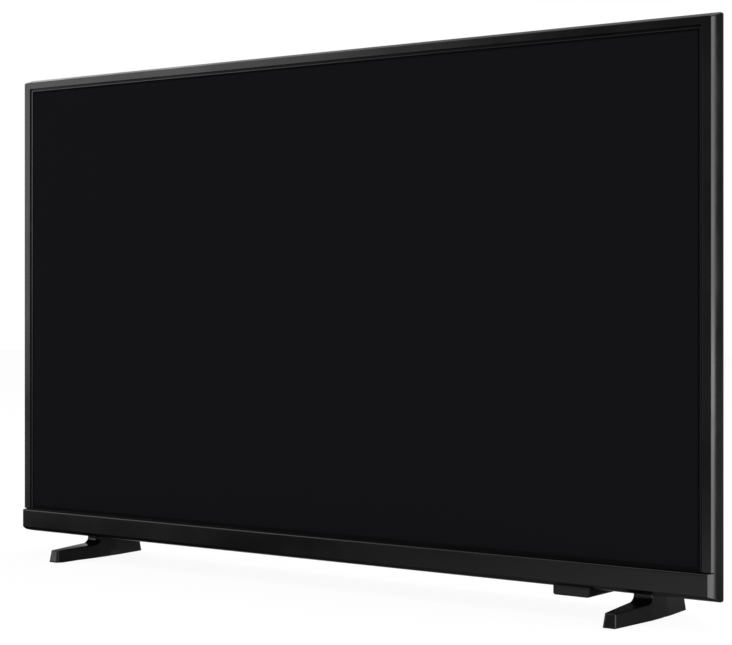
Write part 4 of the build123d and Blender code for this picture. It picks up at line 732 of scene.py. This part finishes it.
# Old and new places of the lines that the bezel and the cover share
SIDE_RIM = (0.3645, 0.3641)
TOP_RIM = (0.45245, 0.45145)
SEAM = (-0.0145, -0.0157)
REFITS = (
    Refit(
        "bezel_shell",
        "front_bezel",
        "bezel",
        across=((0.34, 0.34), (0.35185, 0.3535), (0.3605, 0.3607), SIDE_RIM),
        along=((-0.0257, -0.0257), SEAM),
        upward=((0.43, 0.43), (0.44145, 0.44225), (0.44845, 0.44805), TOP_RIM),
    ),
    Refit("front_film", "front_polarizer", "screen", across=((0.34, 0.34), (0.35075, 0.3519))),
    Refit(
        "cover_shell",
        "rear_cover",
        "cover",
        across=((0.355, 0.355), SIDE_RIM),
        along=(SEAM, (-0.0133, -0.0133)),
        upward=((0.44, 0.44), TOP_RIM),
    ),
)

# Rings of a screw from the tip of its shank, as shares of the shank's radius out and up
TIP_RINGS = ((0.7, 0.0), (1.0, 0.5))
# Rings of a screw from its head's rim to its top, as shares of the head's radius and height
RIM_RINGS = ((0.98, 0.0), (1.0, 0.15), (0.97, 0.55), (0.82, 0.86), (0.62, 1.0))
# Rings from its top to the floor of its recess
RECESS_RINGS = ((0.5, 1.0), (0.46, 0.5), (0.3, 0.35))
REARWARD = (0.0, 1.0, 0.0)
DOWNWARD = (0.0, 0.0, -1.0)


@dataclass(frozen=True)
class ScrewHead:
    """A pan head with a cross recess, repeated at every place of one kind of fastener.

    Attributes:
        name: The new piece's name.
        node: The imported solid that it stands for.
        slot: The material slot it takes.
        aim: The way that the heads point, along an axis.
        radius: The head's radius, in metres.
        height: The head's height, in metres.
        shank: The shank's radius, in metres.
        length: The shank's length, in metres.
        sides: Number of corners of a ring.
        recess: Share of the head's radius within which the rings form the cross.
        narrow: Share of a ring's radius that is left between the arms.
        sharpness: Power that makes the arms narrow.
    """

    name: str
    node: str
    slot: str
    aim: Point
    radius: float
    height: float
    shank: float
    length: float
    sides: int = 32
    recess: float = 0.55
    narrow: float = 0.45
    sharpness: int = 3

    def mesh(self) -> bpy.types.Mesh:
        """Make one screw with its seat at the origin and its head along +Z."""
        made = bmesh.new()
        loops = []
        for radius, height in self._profile():
            loop = []
            for step in range(self.sides):
                angle = 2 * math.pi * step / self.sides
                reach = radius * self._cross(angle, radius, height)
                loop.append(made.verts.new((reach * math.cos(angle), reach * math.sin(angle), height)))
            loops.append(loop)
        for lower, upper in zip(loops, loops[1:]):
            for step in range(self.sides):
                following = (step + 1) % self.sides
                made.faces.new((lower[step], lower[following], upper[following], upper[step]))
        made.faces.new(list(reversed(loops[0])))
        made.faces.new(loops[-1])
        mesh = bpy.data.meshes.new(self.name + "_one")
        made.to_mesh(mesh)
        made.free()
        for face in mesh.polygons:
            face.use_smooth = len(face.vertices) == 4
        return mesh

    def _profile(self) -> list[tuple[float, float]]:
        """Give the rings of the screw, from the shank's tip to the floor of its recess."""
        tip = [(self.shank * share, self.shank * rise - self.length) for share, rise in TIP_RINGS]
        head = [(self.radius * share, self.height * rise) for share, rise in RIM_RINGS + RECESS_RINGS]
        return [*tip, (self.shank, 0.0), *head]

    def _cross(self, angle: float, radius: float, height: float) -> float:
        """Give the factor on a ring's radius that pulls the inner rings into a cross."""
        if radius > self.radius * self.recess or height <= 0:
            return 1.0
        arm = abs(math.cos(2 * angle)) ** self.sharpness
        return self.narrow + (1 - self.narrow) * arm

    def build(self, materials: Materials) -> None:
        """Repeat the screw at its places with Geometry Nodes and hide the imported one."""
        places = seats(self.node, Vector(self.aim), self.height)
        unit = put(self.name + "_unit", self.mesh())
        points = bpy.data.meshes.new(self.name + "_places")
        points.from_pydata([tuple(seat) for seat in places], [], [])
        turn = points.attributes.new("aim", "FLOAT_VECTOR", "POINT")
        turn.data.foreach_set("vector", list(self.aim) * len(places))
        carrier = put(self.name + "_carrier", points)
        tree = repeat_tree(self.name + "_repeat", materials.get(self.slot))
        modifier = carrier.modifiers.new("repeat", "NODES")
        modifier.node_group = tree
        names = {item.name: item.identifier for item in tree.interface.items_tree if item.in_out == "INPUT"}
        modifier[names["Piece"]] = unit
        modifier[names["Size"]] = 1.0
        piece = plain_mesh(carrier, self.name)
        bpy.data.objects.remove(carrier)
        bpy.data.objects.remove(unit)
        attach(piece, "cabinet")
        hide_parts(self.node)
        LOG.info("repeated %s at %d places", self.name, len(places))


# Radius and height of the head, then radius and length of the shank
HEADS = (
    ScrewHead("cover_screw_heads", "cover_screws", "black_screw", REARWARD, 0.0033, 0.0022, 0.00145, 0.003),
    ScrewHead("leg_screw_heads", "leg_screws", "screw", DOWNWARD, 0.0036, 0.0026, 0.002, 0.0225),
    ScrewHead("board_screw_heads", "board_screws", "screw", REARWARD, 0.0028, 0.0018, 0.0015, 0.0066),
)


def repeat_tree(name: str, material: bpy.types.Material) -> bpy.types.NodeTree:
    """Build a tree that puts a piece on every point, turned along the point's aim.

    Args:
        name: The tree's name.
        material: The material of the result.

    Returns:
        The tree, with the inputs Geometry, Piece and Size.
    """
    group = bpy.data.node_groups.new(name, "GeometryNodeTree")
    group.interface.new_socket("Geometry", in_out="INPUT", socket_type="NodeSocketGeometry")
    group.interface.new_socket("Piece", in_out="INPUT", socket_type="NodeSocketObject")
    size = group.interface.new_socket("Size", in_out="INPUT", socket_type="NodeSocketFloat")
    size.default_value = 1.0
    group.interface.new_socket("Geometry", in_out="OUTPUT", socket_type="NodeSocketGeometry")
    tree = NodeTree(group)
    start = tree.add("NodeGroupInput")
    info = tree.add("GeometryNodeObjectInfo", {"Object": start.outputs["Piece"]})
    aim = tree.add("GeometryNodeInputNamedAttribute", {"Name": "aim"}, data_type="FLOAT_VECTOR")
    turned = tree.add("FunctionNodeAlignRotationToVector", {"Vector": aim.outputs["Attribute"]}, axis="Z")
    values = {
        "Points": start.outputs["Geometry"],
        "Instance": info.outputs["Geometry"],
        "Rotation": turned.outputs[0],
        "Scale": start.outputs["Size"],
    }
    repeated = tree.add("GeometryNodeInstanceOnPoints", values)
    real = tree.add("GeometryNodeRealizeInstances", {"Geometry": repeated.outputs[0]})
    dressed = tree.add("GeometryNodeSetMaterial", {"Geometry": real.outputs[0], "Material": material})
    tree.add("NodeGroupOutput", {0: dressed.outputs[0]})
    return group


def plain_mesh(source: bpy.types.Object, name: str) -> bpy.types.Object:
    """Turn an evaluated object into a plain mesh at the origin.

    Args:
        source: The object with its modifiers.
        name: The new object's name.

    Returns:
        The new object.
    """
    depsgraph = bpy.context.evaluated_depsgraph_get()
    mesh = bpy.data.meshes.new_from_object(source.evaluated_get(depsgraph), depsgraph=depsgraph)
    mesh.name = name
    return put(name, mesh)


def seats(node: str, direction: Vector, height: float, touching: float = 1e-6) -> list[Vector]:
    """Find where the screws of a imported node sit.

    Args:
        node: The node that holds the screws as separate solids.
        direction: The way that the heads point, along an axis.
        height: The height of a head.
        touching: Distance within which two corners are one, in metres.

    Returns:
        One seat point for each screw.
    """
    source = bmesh.new()
    source.from_mesh(frame["nodes"][node].data)
    bmesh.ops.remove_doubles(source, verts=source.verts, dist=touching)
    left = set(source.verts)
    found = []
    while left:
        island = {left.pop()}
        edge = list(island)
        while edge:
            vert = edge.pop()
            for link in vert.link_edges:
                other = link.other_vert(vert)
                if other in left:
                    left.remove(other)
                    island.add(other)
                    edge.append(other)
        lows = [min(v.co[i] for v in island) for i in range(3)]
        highs = [max(v.co[i] for v in island) for i in range(3)]
        middle = (Vector(lows) + Vector(highs)) / 2
        reach = max(direction.dot(v.co) for v in island)
        found.append(middle + direction * (reach - height - direction.dot(middle)))
    source.free()
    return sorted(found, key=tuple)


@dataclass(frozen=True)
class Card:
    """A soft light panel.

    Attributes:
        name: The light's name.
        place: Its middle.
        size: Width and height, in metres.
        power: Its power, in watts.
        aim: The point that it faces.
        mirrored: Whether it shows in reflections.
    """

    name: str
    place: Point
    size: Span
    power: float
    aim: Point = (0.0, 0.0, 0.2)
    mirrored: bool = True

    def build(self) -> None:
        """Make the light."""
        lamp = bpy.data.lights.new(self.name, "AREA")
        lamp.shape = "RECTANGLE"
        lamp.size, lamp.size_y = self.size
        lamp.energy = self.power
        light = put(self.name, lamp)
        direction = Vector(self.aim) - Vector(self.place)
        turn = direction.to_track_quat("-Z", "Y").to_matrix().to_4x4()
        light.matrix_world = Matrix.Translation(self.place) @ turn
        light.visible_glossy = self.mirrored


@dataclass(frozen=True)
class Floor:
    """A plain pale floor, and a painted reflection of it for the set's glossy faces: a glow that only they
    see, with painted shade around the set and a painted pool of light to its right.

    Attributes:
        reach: Half the floor's width, in metres.
        grey: Share of the light that it sends back.
        glow: Brightness that only the camera sees.
        glow_share: Share of that brightness in what the camera sees.
        front: Brightness mirrored before the set, at its left and at its right.
        front_span: Where that changes, in halves of the set's width.
        beyond: What is added past the set's left end.
        beyond_span: Distances past that end over which it is added, in metres.
        behind: Brightness mirrored close behind the set, at its left and at its right.
        behind_span: Where that changes across the set.
        rear: Brightness mirrored farther behind the set.
        rear_span: Depths between which the close part changes to it.
        under: Share of the painted brightness that the painted shadow under the set leaves.
        under_span: Depths between which that share rises to one.
        middle_span: Depths between which the part before the set changes to the part behind it.
        light_pool: Painted brightness of the pool of light mirrored to the right of the set.
        light_pool_blur: Width over which it starts, in metres.
        slope: Slope, in plan, at which the bright part to the right ends.
        slope_blur: Width over which it ends, in metres.
    """

    reach: float = 6.0
    grey: float = 0.8
    glow: float = 1.16
    glow_share: float = 0.8
    front: Span = (0.08, 0.62)
    front_span: Span = (-0.7, 1.15)
    beyond: float = 0.3
    beyond_span: Span = (0.1, 0.4)
    behind: Span = (0.3, 0.14)
    behind_span: Span = (-0.2, 0.15)
    rear: float = 0.22
    rear_span: Span = (0.1, 0.3)
    under: float = 0.2
    under_span: Span = (-0.04, -0.1)
    middle_span: Span = (-0.01, 0.015)
    light_pool: float = 3.4
    light_pool_blur: float = 0.05
    slope: float = 0.53
    slope_blur: float = 0.06

    def build(self) -> None:
        """Lay the floor."""
        mesh = bpy.data.meshes.new("floor")
        reach = self.reach
        corners = [(-reach, -reach, 0), (reach, -reach, 0), (reach, reach, 0), (-reach, reach, 0)]
        mesh.from_pydata(corners, [], [(0, 1, 2, 3)])
        floor = put("floor", mesh)
        material, tree = empty_material("floor")
        path = tree.add("ShaderNodeLightPath")
        diffuse = tree.add("ShaderNodeBsdfDiffuse", {"Color": (self.grey, self.grey, self.grey, 1.0)})
        # Painted reflection: a glow that only glossy rays see, standing for the floor's light and shade
        sheen = tree.add("ShaderNodeEmission", {"Strength": self._painted_reflection(tree)})
        glossy = path.outputs["Is Glossy Ray"]
        lit = tree.add("ShaderNodeMixShader", {0: glossy, 1: diffuse.outputs[0], 2: sheen.outputs[0]})
        bright = tree.add("ShaderNodeEmission", {"Color": WHITE, "Strength": self.glow})
        seen = tree.math("MULTIPLY", path.outputs["Is Camera Ray"], self.glow_share)
        mixed = tree.add("ShaderNodeMixShader", {0: seen, 1: lit.outputs[0], 2: bright.outputs[0]})
        tree.add("ShaderNodeOutputMaterial", {0: mixed.outputs[0]})
        mesh.materials.append(material)

    def _painted_reflection(self, tree: NodeTree) -> Socket:
        """Paint the brightness that glossy faces mirror of the floor, with painted shade near the set and a
        painted pool of light to its right.
        """
        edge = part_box("front_bezel")[1][0]
        axes = tree.axes(tree.place())
        across = axes["X"]
        depth = axes["Y"]
        past = tree.ramp(across, *(-edge - far for far in self.beyond_span), 0.0, self.beyond)
        front = tree.ramp(across, *(edge * part for part in self.front_span), *self.front)
        # Painted shadow before and under the set
        shaded = tree.ramp(depth, *self.under_span, self.under, 1.0)
        before_set = tree.math("MULTIPLY", tree.math("ADD", front, past), shaded)
        close = tree.ramp(across, *self.behind_span, *self.behind)
        behind = tree.ramp(depth, *self.rear_span, close, self.rear)
        plain = tree.ramp(depth, *self.middle_span, before_set, behind)
        # Painted pool of light to the right of the set, as a lit wedge
        out = tree.math("SUBTRACT", across, edge)
        rise = tree.math("MULTIPLY", out, self.slope)
        before = tree.ramp(tree.math("SUBTRACT", rise, depth), 0.0, self.slope_blur, 0.0, self.light_pool)
        after = tree.ramp(tree.math("ADD", rise, depth), 0.0, self.slope_blur)
        started = tree.ramp(out, 0.0, self.light_pool_blur)
        light_pool = tree.math("MULTIPLY", tree.math("MULTIPLY", before, after), started)
        return tree.math("ADD", plain, light_pool)


@dataclass(frozen=True)
class Fade:
    """A smooth change of brightness along one axis of the direction looked in.

    Attributes:
        axis: The axis.
        low: Where the change starts.
        high: Where it ends.
        start: Brightness where it starts.
        end: Brightness where it ends.
    """

    axis: str
    low: float
    high: float
    start: float = 0.0
    end: float = 1.0


@dataclass(frozen=True)
class Room:
    """White for the camera, even light for matt faces, and a darker room for mirroring ones.

    Attributes:
        wall: The light wall, which brightens to the left.
        wall_side: Keeps the wall to the left half.
        wall_depth: Keeps it behind the set.
        wall_height: Keeps it low.
        ceiling: The light ceiling.
        ceiling_side: Dims the ceiling at the far left.
        base: The rest of the room, from before the set to behind it.
        even: Colour of the light that matt faces get.
    """

    wall: Fade = Fade("X", -0.57, -0.74, 0.17, 0.85)
    wall_side: Fade = Fade("X", 0.2, -0.2)
    wall_depth: Fade = Fade("Y", 0.2, 0.6)
    wall_height: Fade = Fade("Z", 0.7, 0.4)
    ceiling: Fade = Fade("Z", 0.5, 0.75)
    ceiling_side: Fade = Fade("X", -0.7, -0.5, 0.3, 1.0)
    base: Fade = Fade("Y", -0.3, 0.3, 0.13, 0.08)
    even: Colour = (0.3, 0.302, 0.305)

    @staticmethod
    def _joined(tree: NodeTree, axes: bpy.types.bpy_prop_collection, *fades: Fade) -> Socket:
        """Multiply one or more fades along the direction looked in."""
        parts = [tree.ramp(axes[fade.axis], fade.low, fade.high, fade.start, fade.end) for fade in fades]
        result = parts[0]
        for part in parts[1:]:
            result = tree.math("MULTIPLY", result, part)
        return result

    def build(self) -> None:
        """Surround the set."""
        world = bpy.data.worlds.new("studio")
        bpy.context.scene.world = world
        world.use_nodes = True
        world.node_tree.nodes.clear()
        tree = NodeTree(world.node_tree)
        path = tree.add("ShaderNodeLightPath")
        axes = tree.axes(tree.add("ShaderNodeTexCoord").outputs["Generated"])
        wall = self._joined(tree, axes, self.wall, self.wall_side, self.wall_depth, self.wall_height)
        ceiling = self._joined(tree, axes, self.ceiling, self.ceiling_side)
        lit = tree.math("ADD", wall, ceiling)
        room = tree.math("ADD", lit, self._joined(tree, axes, self.base))
        mirrored = tree.add("ShaderNodeBackground", {"Color": room})
        even = tree.add("ShaderNodeBackground", {"Color": shade(self.even)})
        white = tree.add("ShaderNodeBackground", {"Color": WHITE})
        glossy = path.outputs["Is Glossy Ray"]
        first = tree.add("ShaderNodeMixShader", {0: glossy, 1: even.outputs[0], 2: mirrored.outputs[0]})
        camera = path.outputs["Is Camera Ray"]
        second = tree.add("ShaderNodeMixShader", {0: camera, 1: first.outputs[0], 2: white.outputs[0]})
        tree.add("ShaderNodeOutputWorld", {0: second.outputs[0]})


@dataclass(frozen=True)
class Viewpoint:
    """The photograph's viewing point.

    Attributes:
        place: The camera's place.
        turn: Its turn about the upright, in degrees.
        focal: Its focal length, in millimetres, for a sensor of 36 mm.
        shift: Shift of the picture across and up, as shares of its width.
        clip: Nearest and farthest distance that it sees, in metres.
    """

    place: Point = (0.98165, -1.2592, 0.2413)
    turn: float = 36.563
    focal: float = 92.392
    shift: Span = (-0.0269, -0.02985)
    clip: Span = (0.05, 50.0)

    def build(self) -> None:
        """Place the camera and show the scene through it."""
        lens = bpy.data.cameras.new("camera")
        lens.lens = self.focal
        lens.shift_x, lens.shift_y = self.shift
        lens.clip_start, lens.clip_end = self.clip
        camera = put("camera", lens)
        camera.location = self.place
        camera.rotation_euler = (math.pi / 2, 0.0, math.radians(self.turn))
        bpy.context.scene.camera = camera
        bpy.context.scene.view_settings.view_transform = "Standard"


class Studio:
    """The floor, the surroundings, the lights and the camera."""

    cards = (
        Card("left_card", place=(-2.37, -1.83, 0.93), size=(1.6, 1.7), power=14.4, aim=(-0.2, 0.0, 0.3)),
        Card("right_card", place=(2.55, 0.25, 0.66), size=(1.8, 1.3), power=25.5, aim=(0.3, 0.1, 0.6)),
        Card("top_card", place=(0.4, 0.2, 2.4), size=(2.2, 1.6), power=14.0, mirrored=False),
        Card("rear_card", place=(1.6, 2.6, 1.3), size=(1.6, 1.2), power=14.0, mirrored=False),
    )

    def build(self) -> None:
        """Build the whole studio."""
        Floor().build()
        Room().build()
        for card in self.cards:
            card.build()
        Viewpoint().build()


def main() -> None:
    """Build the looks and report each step."""
    logging.basicConfig(level=logging.INFO, format="%(name)s: %(message)s")
    materials = Materials(Effects())
    dress(materials)
    for refit in REFITS:
        refit.build(materials)
    for head in HEADS:
        head.build(materials)
    Studio().build()


if __name__ == "__main__":
    main()
